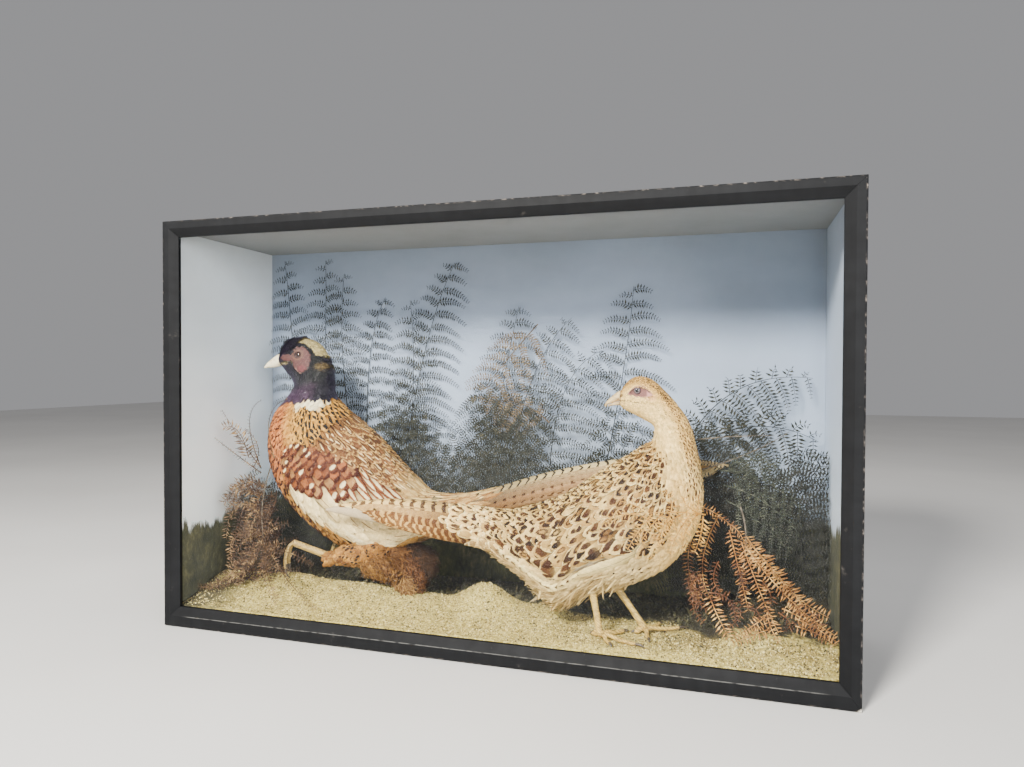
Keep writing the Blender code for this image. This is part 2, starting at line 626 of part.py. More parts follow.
def build_cock():
    cock = whole_loft("cock_pheasant", COCK_SECTIONS, COCK_Y, COCK_AROUND, PARTS)
    add(cock, whole_loft("cock_tail", COCK_TAIL, COCK_Y, COCK_AROUND, HELPERS))
    add(cock, whole_loft("cock_bill", COCK_BILL, COCK_Y, BILL_AROUND, HELPERS))
    for side, word in ((-1, "left"), (1, "right")):
        add(cock, wing("cock_wing_" + word, COCK_SECTIONS, COCK_WING, COCK_Y, side, None, HELPERS))
        centre = (COCK_EYE[0], COCK_Y + side * COCK_EYE_OUT, COCK_EYE[1])
        add(cock, ball("cock_eye_" + word, centre, COCK_EYE_RADIUS, HELPERS))
    lobe = ball("cock_thigh_lobe", COCK_THIGH_LOBE, 1.0, HELPERS, COCK_LOBE_RADII, 14, 9)
    add(cock, lobe)
    cock_leg(cock, "cock_left_leg", COCK_NEAR_LEG, COCK_NEAR_THIGH)
    cock_leg(cock, "cock_right_leg", COCK_FAR_LEG, COCK_FAR_THIGH)
    finish(cock, COPPER, 0.8)


# The dried ferns


def frond(name, root, middle, tip, width, facing, colour):
    """A flat blade along a curved stem, narrow at the root and the tip, with square edges."""
    root, middle, tip = Vector(root), Vector(middle), Vector(tip)
    control = middle * 2 - (root + tip) / 2
    rings = []
    for k in range(FERN_STEPS + 1):
        t = k / FERN_STEPS
        point = root * (1 - t) ** 2 + control * 2 * t * (1 - t) + tip * t * t
        ahead = ((control - root) * (1 - t) + (tip - control) * t).normalized()
        side = ahead.cross(Vector(facing)).normalized()
        normal = side.cross(ahead).normalized()
        half = 0.0012 + width / 2 * math.sin(math.pi * min(1.0, t * 0.82 + 0.08)) ** 1.2
        near, far = point - normal * FERN_THICKNESS / 2, point + normal * FERN_THICKNESS / 2
        rings.append([near - side * half, near + side * half, far + side * half, far - side * half])
    finish(place(rings_mesh(rings), name, PARTS), colour, 0.8, smooth=False)


def build_ferns():
    for i, (root, middle, tip, width) in enumerate(BACK_FERNS):
        frond(f"fern_{i + 1}", root, middle, tip, width, (0.0, -1.0, 0.0), FERN_GREEN)
    for i, (root, middle, tip, width) in enumerate(BRACKEN):
        frond(f"bracken_{i + 1}", root, middle, tip, width, (0.0, -1.0, 0.35), RUSSET)


BLACK_WOOD = (0.012, 0.011, 0.010)
FERN_GREEN = (0.10, 0.09, 0.06)
RUSSET = (0.36, 0.17, 0.09)
SKY = (0.45, 0.47, 0.50)
SAND = (0.36, 0.30, 0.20)
BUFF = (0.45, 0.32, 0.18)
COPPER = (0.42, 0.19, 0.07)
HORN = (0.50, 0.42, 0.28)
EYE_GREY = (0.20, 0.19, 0.19)

clear_scene()
PARTS = collection("Parts", True)
HELPERS = collection("Helpers", False)
build_case()
build_ground()
build_hen()
build_cock()
build_ferns()
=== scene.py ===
"""The looks of the cased pheasants: skins, plumage, heads, feet, ferns, groundwork and case.

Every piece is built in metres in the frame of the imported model. The birds' bodies are rows of
sections, as in the solids, and every feather is a small curved vane laid along that surface.
"""
import math

import bmesh
import bpy
import numpy as np
from mathutils import Matrix, Vector


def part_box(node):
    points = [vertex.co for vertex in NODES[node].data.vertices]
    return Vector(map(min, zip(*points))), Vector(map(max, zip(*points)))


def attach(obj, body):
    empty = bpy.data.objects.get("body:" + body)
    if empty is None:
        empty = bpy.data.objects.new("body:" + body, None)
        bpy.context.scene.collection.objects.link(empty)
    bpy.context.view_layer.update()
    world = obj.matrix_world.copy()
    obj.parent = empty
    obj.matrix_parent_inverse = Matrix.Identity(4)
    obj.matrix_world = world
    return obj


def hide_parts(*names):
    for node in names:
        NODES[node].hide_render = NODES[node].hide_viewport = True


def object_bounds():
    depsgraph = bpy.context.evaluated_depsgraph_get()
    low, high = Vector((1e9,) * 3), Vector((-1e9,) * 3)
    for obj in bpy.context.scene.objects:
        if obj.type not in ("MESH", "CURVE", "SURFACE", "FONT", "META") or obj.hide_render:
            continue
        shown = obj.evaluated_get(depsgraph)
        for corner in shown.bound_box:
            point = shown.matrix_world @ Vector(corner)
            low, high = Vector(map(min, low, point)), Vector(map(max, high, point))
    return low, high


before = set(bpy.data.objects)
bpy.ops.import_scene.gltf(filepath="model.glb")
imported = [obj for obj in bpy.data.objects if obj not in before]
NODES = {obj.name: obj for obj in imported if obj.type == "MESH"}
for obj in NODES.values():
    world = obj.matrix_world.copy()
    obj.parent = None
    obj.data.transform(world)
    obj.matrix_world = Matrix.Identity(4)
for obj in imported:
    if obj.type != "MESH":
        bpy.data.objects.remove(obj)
CAD_LOW, CAD_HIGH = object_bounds()
RNG = np.random.default_rng(1889)

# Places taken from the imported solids
FRAME_LOW, FRAME_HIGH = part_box("frame_bottom")
FRONT_Y = FRAME_LOW.y
GROUND_LOW, GROUND_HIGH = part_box("groundwork")
INNER_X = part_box("case_side_right")[0].x
FLOOR_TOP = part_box("case_floor")[1].z
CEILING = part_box("case_top")[0].z
BACK_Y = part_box("case_back")[0].y
GLASS_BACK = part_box("glass_pane")[1].y
RAIL_MIDDLE = FRAME_LOW.z + 0.0165

# The birds' sections, as in the solids: back point, belly point, half width and sideways shift
HEN_Y = -0.055
COCK_Y = 0.020
HEN_ROWS = (
    ((-0.2320, 0.1815), (-0.2320, 0.1745), 0.0040, -0.028),
    ((-0.1800, 0.1935), (-0.1800, 0.1650), 0.0095, -0.024),
    ((-0.1200, 0.1985), (-0.1200, 0.1540), 0.0150, -0.018),
    ((-0.0600, 0.1960), (-0.0600, 0.1415), 0.0180, -0.010),
    ((0.002, 0.190), (0.002, 0.130), 0.017),
    ((0.042, 0.190), (0.046, 0.108), 0.031),
    ((0.082, 0.201), (0.078, 0.085), 0.042),
    ((0.116, 0.215), (0.107, 0.064), 0.048),
    ((0.150, 0.238), (0.151, 0.083), 0.0535),
    ((0.180, 0.258), (0.203, 0.098), 0.0535),
    ((0.203, 0.272), (0.250, 0.123), 0.051),
    ((0.218, 0.282), (0.279, 0.156), 0.046),
    ((0.228, 0.288), (0.293, 0.185), 0.040),
    ((0.2335, 0.292), (0.299, 0.222), 0.034),
    ((0.2355, 0.297), (0.296, 0.256), 0.029),
    ((0.2360, 0.302), (0.2890, 0.286), 0.0245),
    ((0.2360, 0.307), (0.2815, 0.313), 0.0215),
    ((0.2332, 0.312), (0.2670, 0.336), 0.0195),
    ((0.2274, 0.3156), (0.2510, 0.354), 0.0185),
    ((0.2180, 0.3205), (0.2340, 0.3695), 0.0178),
    ((0.2076, 0.3258), (0.2160, 0.3745), 0.0165),
    ((0.1974, 0.3310), (0.2025, 0.3692), 0.0132),
    ((0.1906, 0.3364), (0.1922, 0.3562), 0.0084),
)
COCK_ROWS = (
    ((0.330, 0.2490), (0.330, 0.2440), 0.003, 0.040),
    ((0.240, 0.2600), (0.240, 0.2320), 0.009, 0.035),
    ((0.150, 0.2480), (0.150, 0.2060), 0.013, 0.028),
    ((0.060, 0.2270), (0.060, 0.1800), 0.016, 0.018),
    ((-0.040, 0.1960), (-0.040, 0.1500), 0.019, 0.006),
    ((-0.105, 0.194), (-0.118, 0.118), 0.036),
    ((-0.135, 0.214), (-0.165, 0.090), 0.050),
    ((-0.168, 0.243), (-0.215, 0.086), 0.062),
    ((-0.200, 0.274), (-0.272, 0.106), 0.068),
    ((-0.230, 0.298), (-0.325, 0.140), 0.069),
    ((-0.252, 0.315), (-0.365, 0.180), 0.064),
    ((-0.266, 0.327), (-0.389, 0.226), 0.056),
    ((-0.274, 0.336), (-0.394, 0.270), 0.047),
    ((-0.279, 0.345), (-0.385, 0.307), 0.037),
    ((-0.282, 0.356), (-0.3635, 0.333), 0.031),
    ((-0.283, 0.372), (-0.3490, 0.352), 0.028),
    ((-0.284, 0.388), (-0.3520, 0.3655), 0.026),
    ((-0.291, 0.404), (-0.3610, 0.3740), 0.0235),
    ((-0.302, 0.420), (-0.3665, 0.3800), 0.021),
    ((-0.320, 0.430), (-0.3710, 0.3855), 0.019),
    ((-0.342, 0.4318), (-0.3755, 0.3895), 0.0165),
    ((-0.361, 0.4278), (-0.3780, 0.3905), 0.0125),
    ((-0.3730, 0.4165), (-0.3795, 0.3905), 0.0080),
)
# A wing is a raised patch of a body: section, upper and lower edge in degrees, thickness
HEN_WING = (
    (4.75, 22, 8, 0.0015), (5.6, 38, -4, 0.0035), (6.8, 50, -26, 0.0055), (8.2, 54, -36, 0.0065),
    (9.6, 52, -38, 0.0065), (10.8, 46, -34, 0.0060), (11.8, 34, -22, 0.0045), (12.5, 16, -6, 0.002),
)
COCK_WING = (
    (4.9, 14, -30, 0.0020), (5.8, 34, -42, 0.0045), (7.0, 44, -46, 0.0070), (8.2, 42, -44, 0.0080),
    (9.4, 34, -36, 0.0075), (10.4, 20, -24, 0.0050), (11.1, 4, -10, 0.0022),
)


def smooth(low, high, value):
    """Smoothstep that works on numbers and arrays, and downwards when low is above high."""
    t = np.clip((np.asarray(value, float) - low) / (high - low), 0.0, 1.0)
    return t * t * (3 - 2 * t)


def unit(vectors):
    return vectors / np.maximum(np.linalg.norm(vectors, axis=-1, keepdims=True), 1e-12)


def catmull(rows, s):
    """Rows of numbers on a smooth curve, at places s along them."""
    last = len(rows) - 1
    i = np.clip(np.floor(s).astype(int), 0, last - 1)
    t = (s - i)[..., None]
    a, b = rows[np.maximum(i - 1, 0)], rows[i]
    c, d = rows[i + 1], rows[np.minimum(i + 2, last)]
    return 0.5 * (2 * b + (c - a) * t + (2 * a - 5 * b + 4 * c - d) * t ** 2
                  + (3 * b - a - 3 * c + d) * t ** 3)


class Body:
    """A bird's outer surface: s runs from the tail's tip to the bill's root, the angle round it.

    Angle 0 is the side towards +Y, 90 degrees the back, 180 the side towards the glass.
    """

    def __init__(self, rows, mid_y, wing):
        self.rows = np.array([
            (*r[0], *r[1], r[2], r[3] if len(r) > 3 else 0.0) for r in rows
        ])
        self.mid_y = mid_y
        self.wing = np.array(wing, float)
        self.end = len(rows) - 1.0

    def wing_share(self, s, a):
        """1 in the middle of a wing, falling to 0 at its edges, and its thickness there."""
        upper = np.interp(s, self.wing[:, 0], self.wing[:, 1])
        lower = np.interp(s, self.wing[:, 0], self.wing[:, 2])
        thick = np.interp(s, self.wing[:, 0], self.wing[:, 3], left=0.0, right=0.0)
        rise = np.degrees(np.arcsin(np.clip(np.sin(a), -1, 1)))
        across = (rise - lower) / np.maximum(upper - lower, 1.0)
        inside = smooth(-0.06, 0.16, across) * smooth(1.06, 0.84, across)
        return inside * (thick > 0), thick

    def at(self, s, a, lift=0.0):
        s = np.clip(s, 0.0, self.end)
        sec = catmull(self.rows, s)
        half_up = np.stack([(sec[..., 0] - sec[..., 2]) / 2, np.zeros_like(s),
                            (sec[..., 1] - sec[..., 3]) / 2], -1)
        middle = np.stack([(sec[..., 0] + sec[..., 2]) / 2, self.mid_y + sec[..., 5],
                           (sec[..., 1] + sec[..., 3]) / 2], -1)
        height = np.linalg.norm(half_up, axis=-1)
        width = sec[..., 4]
        c, q = np.cos(a), np.sin(a)
        side = np.zeros_like(half_up)
        side[..., 1] = 1.0
        point = middle + side * (width * c)[..., None] + half_up * q[..., None]
        normal = unit(side * (c / width)[..., None] + half_up * (q / height ** 2)[..., None])
        inside, thick = self.wing_share(s, a)
        lift = lift + inside * thick
        return point + normal * np.asarray(lift)[..., None] * np.ones_like(s)[..., None]

    def slopes(self, s, a):
        e, f = 0.02, 0.02
        low, high = np.clip(s - e, 0, self.end), np.clip(s + e, 0, self.end)
        along = (self.at(high, a) - self.at(low, a)) / (high - low)[..., None]
        around = (self.at(s, a + f) - self.at(s, a - f)) / (2 * f)
        return along, around


HEN = Body(HEN_ROWS, HEN_Y, HEN_WING)
COCK = Body(COCK_ROWS, COCK_Y, COCK_WING)


# Meshes and objects


def add_object(name, data):
    obj = bpy.data.objects.new(name, data)
    bpy.context.scene.collection.objects.link(obj)
    return obj


def mesh_of(name, verts, faces, material):
    """A smooth object from vertices and faces with any numbers of corners."""
    mesh = bpy.data.meshes.new(name)
    mesh.from_pydata(verts.tolist(), [], faces)
    mesh.validate()
    mesh.shade_smooth()
    mesh.materials.append(material)
    return add_object(name, mesh)


def make_object(name, verts, faces, material, smooth_shading=True):
    """An object from arrays of vertices and of faces with one number of corners each."""
    mesh = bpy.data.meshes.new(name)
    verts = np.asarray(verts, np.float32)
    faces = np.asarray(faces, np.int32)
    corners = faces.shape[1]
    mesh.vertices.add(len(verts))
    mesh.vertices.foreach_set("co", verts.ravel())
    mesh.loops.add(faces.size)
    mesh.loops.foreach_set("vertex_index", faces.ravel())
    mesh.polygons.add(len(faces))
    mesh.polygons.foreach_set("loop_start", np.arange(0, faces.size, corners, dtype=np.int32))
    mesh.polygons.foreach_set("use_smooth", np.full(len(faces), smooth_shading))
    mesh.update(calc_edges=True)
    mesh.validate()
    mesh.materials.append(material)
    return add_object(name, mesh)


def attribute(obj, name, kind, values):
    """A per-vertex attribute that the materials read."""
    made = obj.data.attributes.new(name, kind, "POINT")
    key = {"FLOAT": "value", "FLOAT_VECTOR": "vector", "FLOAT_COLOR": "color"}[kind]
    made.data.foreach_set(key, np.asarray(values, np.float32).ravel())


def bake_map(obj, places):
    """The UV map OFBake, from a place for each vertex."""
    layer = obj.data.uv_layers.new(name="OFBake")
    index = np.zeros(len(obj.data.loops), np.int32)
    obj.data.loops.foreach_get("vertex_index", index)
    layer.data.foreach_set("uv", np.asarray(places, np.float32)[index].ravel())


def fixed(obj, slot_name, *nodes):
    """A finished piece rides on the root, and stands for the nodes named."""
    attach(obj, "root")
    if nodes:
        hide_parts(*nodes)
    return obj


def grid_faces(rows, columns, closed=False, start=0):
    """Quads over a grid of vertices, row by row; closed joins the last column to the first."""
    r = np.arange(rows - 1)[:, None]
    c = np.arange(columns if closed else columns - 1)[None, :]
    nxt = (c + 1) % columns
    quads = np.stack([r * columns + c, r * columns + nxt, (r + 1) * columns + nxt,
                      (r + 1) * columns + c], -1)
    return quads.reshape(-1, 4) + start


def closed_loft(rings, ends=None):
    """Vertices, quads and the triangles of both caps of a closed surface through rings."""
    rows, around = rings.shape[:2]
    if ends is None:
        ends = (rings[0].mean(0), rings[-1].mean(0))
    verts = np.concatenate([rings.reshape(-1, 3), ends])
    k = np.arange(around)
    j = (k + 1) % around
    last = (rows - 1) * around
    near = np.stack([np.full(around, len(verts) - 2), j, k], -1)
    far = np.stack([np.full(around, len(verts) - 1), last + k, last + j], -1)
    return verts, grid_faces(rows, around, closed=True), np.concatenate([near, far])


# Materials


class Value:
    """An output in a node tree, so that a sum of outputs is written as a sum."""

    def __init__(self, shader, socket):
        self.shader, self.socket = shader, socket

    def __add__(self, other):
        return self.shader.math("ADD", self, other)

    def __sub__(self, other):
        return self.shader.math("SUBTRACT", self, other)

    def __rsub__(self, other):
        return self.shader.math("SUBTRACT", other, self)

    def __mul__(self, other):
        return self.shader.math("MULTIPLY", self, other)

    def __truediv__(self, other):
        return self.shader.math("DIVIDE", self, other)

    def __pow__(self, other):
        return self.shader.math("POWER", self, other)

    def __abs__(self):
        return self.shader.math("ABSOLUTE", self)

    __radd__ = __add__
    __rmul__ = __mul__


class Shader:
    """A material's node tree, with short ways to add to it."""

    def __init__(self, name, roughness=0.6, **inputs):
        self.material = bpy.data.materials.new(name)
        self.material.use_nodes = True
        self.tree = self.material.node_tree
        self.bsdf = self.tree.nodes["Principled BSDF"]
        self.set(self.bsdf, {"Roughness": roughness, **inputs})

    def set(self, node, inputs):
        for key, value in inputs.items():
            socket = node.inputs[key]
            if isinstance(value, Value):
                self.tree.links.new(value.socket, socket)
            elif isinstance(value, tuple) and len(value) == 3 and socket.type == "RGBA":
                socket.default_value = (*value, 1.0)
            else:
                socket.default_value = value

    def add(self, kind, inputs=None, **props):
        node = self.tree.nodes.new("ShaderNode" + kind)
        for key, value in props.items():
            setattr(node, key, value)
        self.set(node, inputs or {})
        return node

    def output(self, kind, inputs=None, key=0, **props):
        """A new node's output, by its name or number."""
        return Value(self, self.add(kind, inputs, **props).outputs[key])

    def math(self, operation, *values):
        return self.output("Math", dict(enumerate(values)), operation=operation)

    def step(self, low, high, value):
        """Smoothstep of a value, downwards when low is above high."""
        ends = (low, high, 0.0, 1.0) if low < high else (high, low, 1.0, 0.0)
        return self.map_range(value, *ends, interpolation_type="SMOOTHSTEP")

    def map_range(self, value, from_low, from_high, to_low, to_high, **props):
        keys = ("Value", "From Min", "From Max", "To Min", "To Max")
        inputs = dict(zip(keys, (value, from_low, from_high, to_low, to_high)))
        return self.output("MapRange", inputs, **props)

    def mix(self, share, first, second, blend="MIX"):
        inputs = {0: share, 6: first, 7: second}
        return self.output("Mix", inputs, 2, data_type="RGBA", blend_type=blend)

    def times(self, first, second):
        """A colour multiplied by another, or darkened by a number."""
        return self.mix(1.0, first, second, "MULTIPLY")

    def attribute(self, name, key="Color"):
        return self.output("Attribute", key=key, attribute_name=name)

    def place(self):
        return self.output("TexCoord", key="Object")

    def xyz(self, vector):
        node = self.add("SeparateXYZ", {0: vector})
        return [Value(self, socket) for socket in node.outputs]

    def noise(self, scale, detail=3.0, vector=None, roughness=0.55, distortion=0.0):
        inputs = {"Vector": vector or self.place(), "Scale": scale, "Detail": detail,
                  "Roughness": roughness, "Distortion": distortion}
        return self.output("TexNoise", inputs, "Fac")

    def stretched(self, vector, x, y, z):
        return self.output("VectorMath", {0: vector, 1: (x, y, z)}, operation="MULTIPLY")

    def ramp(self, value, *stops):
        node = self.add("ValToRGB", {0: value})
        elements = node.color_ramp.elements
        while len(elements) < len(stops):
            elements.new(0.5)
        for element, (position, colour) in zip(elements, stops):
            element.position = position
            element.color = (*colour, 1.0)
        return Value(self, node.outputs[0])

    def bump(self, height, distance, strength=1.0):
        inputs = {"Height": height, "Distance": distance, "Strength": strength}
        self.set(self.bsdf, {"Normal": self.output("Bump", inputs)})

    def colour(self, socket):
        self.set(self.bsdf, {"Base Color": socket})


def paint(node, material):
    """Gives a carried-over CAD node its finish."""
    NODES[node].data.materials.clear()
    NODES[node].data.materials.append(material)


def black_wood():
    """Ebonised softwood: near black, brushed, grey and brown with wear where it is handled."""
    m = Shader("black_wood", 0.5, **{"Specular IOR Level": 0.12})
    place = m.place()
    x, y, z = m.xyz(place)
    along = m.noise(70.0, 6.0, m.stretched(place, 0.10, 1.0, 1.0))
    upright = m.noise(70.0, 6.0, m.stretched(place, 1.0, 1.0, 0.10))
    grain = along * upright
    wear = m.noise(45.0, 8.0, place, 0.7)
    dark = m.mix(grain, (0.003, 0.0032, 0.0038), (0.015, 0.016, 0.018))
    wear_and_highlight = m.mix(m.step(0.62, 0.78, wear), dark, (0.050, 0.046, 0.042))
    # Wear along the outer edges
    side = FRAME_HIGH.x - abs(x)
    top = CAD_HIGH.z / 2 - abs(z - CAD_HIGH.z / 2)
    rim = m.math("MINIMUM", side, top)
    outer = m.step(0.0028, 0.0006, rim) * m.step(FRONT_Y + 0.004, FRONT_Y + 0.0015, y)
    worn_edge = outer * m.step(0.5, 0.66, m.noise(120.0, 6.0, place, 0.7))
    wear_and_highlight = m.mix(worn_edge, wear_and_highlight, (0.17, 0.145, 0.125))
    # A thin pale line where the flat of the bottom rail meets its bevel: a painted highlight along the
    # crease
    crease_highlight = m.step(0.0008, 0.0003, abs(z - RAIL_MIDDLE)) * m.step(0.445, 0.425, abs(x))
    crease_highlight = crease_highlight * m.step(0.3, 0.55, m.noise(300.0, 3.0, m.stretched(place, 0.3, 1.0, 1.0)))
    wear_and_highlight = m.mix(crease_highlight * m.step(FRONT_Y + 0.003, FRONT_Y + 0.001, y), wear_and_highlight, (0.085, 0.085, 0.08))
    # A chip at the lower right corner
    chip_x = x - FRAME_HIGH.x
    away = m.math("SQRT", chip_x * chip_x + z * z)
    chip = m.step(0.0075, 0.0045, away + m.noise(260.0) * 0.004)
    m.colour(m.mix(chip, wear_and_highlight, (0.62, 0.58, 0.50)))
    m.set(m.bsdf, {"Roughness": m.map_range(wear, 0.0, 1.0, 0.48, 0.75)})
    m.bump(grain + wear * 0.4, 0.0006, 0.5)
    return m.material


def painted_inside(name, light, outside=True):
    """The case's inside: pale blue-grey sky over dark foliage.

    With outside, what lies beyond the inner width or over the ceiling is black wood. The back board
    goes without it, and is painted through, on its rear face too.
    """
    m = Shader(name, 0.85)
    place = m.place()
    x, _, z = m.xyz(place)
    cloud = m.noise(5.0, 5.0, m.stretched(place, 1.0, 1.0, 2.2), 0.6)
    sky = m.ramp(z + cloud * 0.2, (0.3, (0.88, 0.9, 0.93)), (0.44, (0.64, 0.67, 0.73)),
                 (0.56, (0.5, 0.53, 0.59)), (0.7, (0.36, 0.37, 0.395)))
    mottled = m.mix(m.noise(70.0, 6.0, place, 0.7), sky, (0.66, 0.68, 0.73))
    # Each wall's tint paints the light and shade that fall on it
    sky = m.times(m.mix(0.25, sky, mottled), light)
    tufts = m.noise(26.0, 7.0, m.stretched(place, 1.0, 1.0, 0.35), 0.72, 0.6)
    hill = m.noise(3.2, 2.0, m.stretched(place, 1.0, 1.0, 0.0))
    top = tufts * 0.1 + hill * 0.13
    edge = top + 0.045
    below = m.step(0.004, -0.01, z - edge)
    leaf = m.ramp(m.noise(55.0, 9.0, m.stretched(place, 1.0, 1.0, 0.6), 0.8),
                  (0.32, (0.014, 0.018, 0.008)), (0.52, (0.075, 0.080, 0.028)),
                  (0.68, (0.20, 0.185, 0.065)))
    colour = m.mix(below, sky, leaf)
    # Painted shade: darker within 3 cm of the side walls, towards the corners
    corner = m.step(0.03, 0.0, INNER_X - abs(x))
    colour = m.mix(corner * 0.18, colour, (0.12, 0.12, 0.13))
    if outside:
        beyond = m.step(INNER_X + 0.0002, INNER_X + 0.0008, abs(x))
        above = m.step(CEILING + 0.0002, CEILING + 0.0008, z)
        colour = m.mix(m.math("MAXIMUM", beyond, above), colour, (0.012, 0.011, 0.010))
    m.colour(colour)
    m.bump(m.noise(120.0, 4.0), 0.0006, 0.35)
    return m.material


def glass():
    m = Shader("old_glass", 0.05, Alpha=0.055)
    haze = m.noise(9.0, 4.0)
    m.colour(m.ramp(haze, (0.35, (0.02, 0.022, 0.024)), (0.7, (0.06, 0.065, 0.07))))
    m.bump(m.noise(6.0, 2.0), 0.0006, 0.10)
    return m.material


def dress_case():
    wood = black_wood()
    for name in ("frame_bottom", "frame_top", "frame_left", "frame_right", "case_floor"):
        paint(name, wood)
    # The tints are painted light and shade: the left wall brighter, the ceiling and the back darker,
    # the right wall bluer
    for name, light in (("case_side_left", (1.82, 1.92, 1.84)), ("case_side_right", (0.98, 1.12, 1.25)),
                        ("case_top", (0.56, 0.56, 0.52)), ("case_back", (0.55, 0.65, 0.77))):
        paint(name, painted_inside("painted_" + name, light, name != "case_back"))
    paint("glass_pane", glass())


# Camera, light and floor


def build_stage():
    camera = add_object("camera", bpy.data.cameras.new("camera"))
    bpy.context.scene.camera = camera
    camera.data.sensor_width = 36.0
    camera.data.lens = 25.56
    camera.location = (0.3290, -1.0179, 0.3821)
    camera.rotation_euler = (math.radians(88.953), math.radians(-0.20), math.radians(16.625))
    floor_mesh = bmesh.new()
    bmesh.ops.create_grid(floor_mesh, x_segments=1, y_segments=1, size=6.0)
    data = bpy.data.meshes.new("floor")
    floor_mesh.to_mesh(data)
    floor_mesh.free()
    floor = add_object("floor", data)
    floor.location.z = CAD_LOW.z - 0.0005
    m = Shader("floor", 0.7)
    m.colour(m.ramp(m.noise(1.5), (0.3, (0.60, 0.59, 0.57)), (0.7, (0.66, 0.65, 0.63))))
    data.materials.append(m.material)
    world = bpy.data.worlds.new("studio")
    bpy.context.scene.world = world
    world.use_nodes = True
    background = world.node_tree.nodes["Background"]
    background.inputs["Color"].default_value = (0.97, 0.97, 1.0, 1.0)
    background.inputs["Strength"].default_value = 0.33
    add_light("key", (-0.5, -2.2, 1.7), (0.0, 0.0, 0.22), 0.6, 236.0, (1.0, 0.965, 0.90))
    add_light("fill", (1.9, -2.0, 0.8), (0.0, 0.0, 0.25), 1.2, 66.0, (0.97, 0.98, 1.0))
    add_light("top", (0.0, 0.3, 2.4), (0.0, 0.0, 0.3), 1.6, 20.0, (1.0, 1.0, 1.0))


def add_light(name, place, target, size, watts, colour):
    lamp = bpy.data.lights.new(name, "AREA")
    lamp.shape = "DISK"
    lamp.size = size
    lamp.energy = watts
    lamp.color = colour
    obj = add_object(name, lamp)
    obj.location = place
    obj.rotation_euler = (Vector(target) - Vector(place)).to_track_quat("-Z", "Y").to_euler()


# Plumage

VANE_ROWS = np.array([0.0, 0.22, 0.45, 0.68, 0.86, 0.96, 1.0])
ROUND_WIDTHS = np.array([0.45, 0.80, 0.98, 1.0, 0.78, 0.46, 0.16])
LEAF_WIDTHS = np.array([0.45, 0.84, 1.0, 0.94, 0.66, 0.34, 0.08])
PLUME_WIDTHS = np.array([0.60, 1.0, 0.95, 0.80, 0.55, 0.30, 0.06])
EDGE_WIDTHS = np.array([0.6, 1.0, 1.0, 1.0, 0.9, 0.6, 0.15])
PATCH = 0.003
MOST_TRIANGLES = 190000
LEAST_SLOPE = 0.0008  # metres a section, where sections draw together


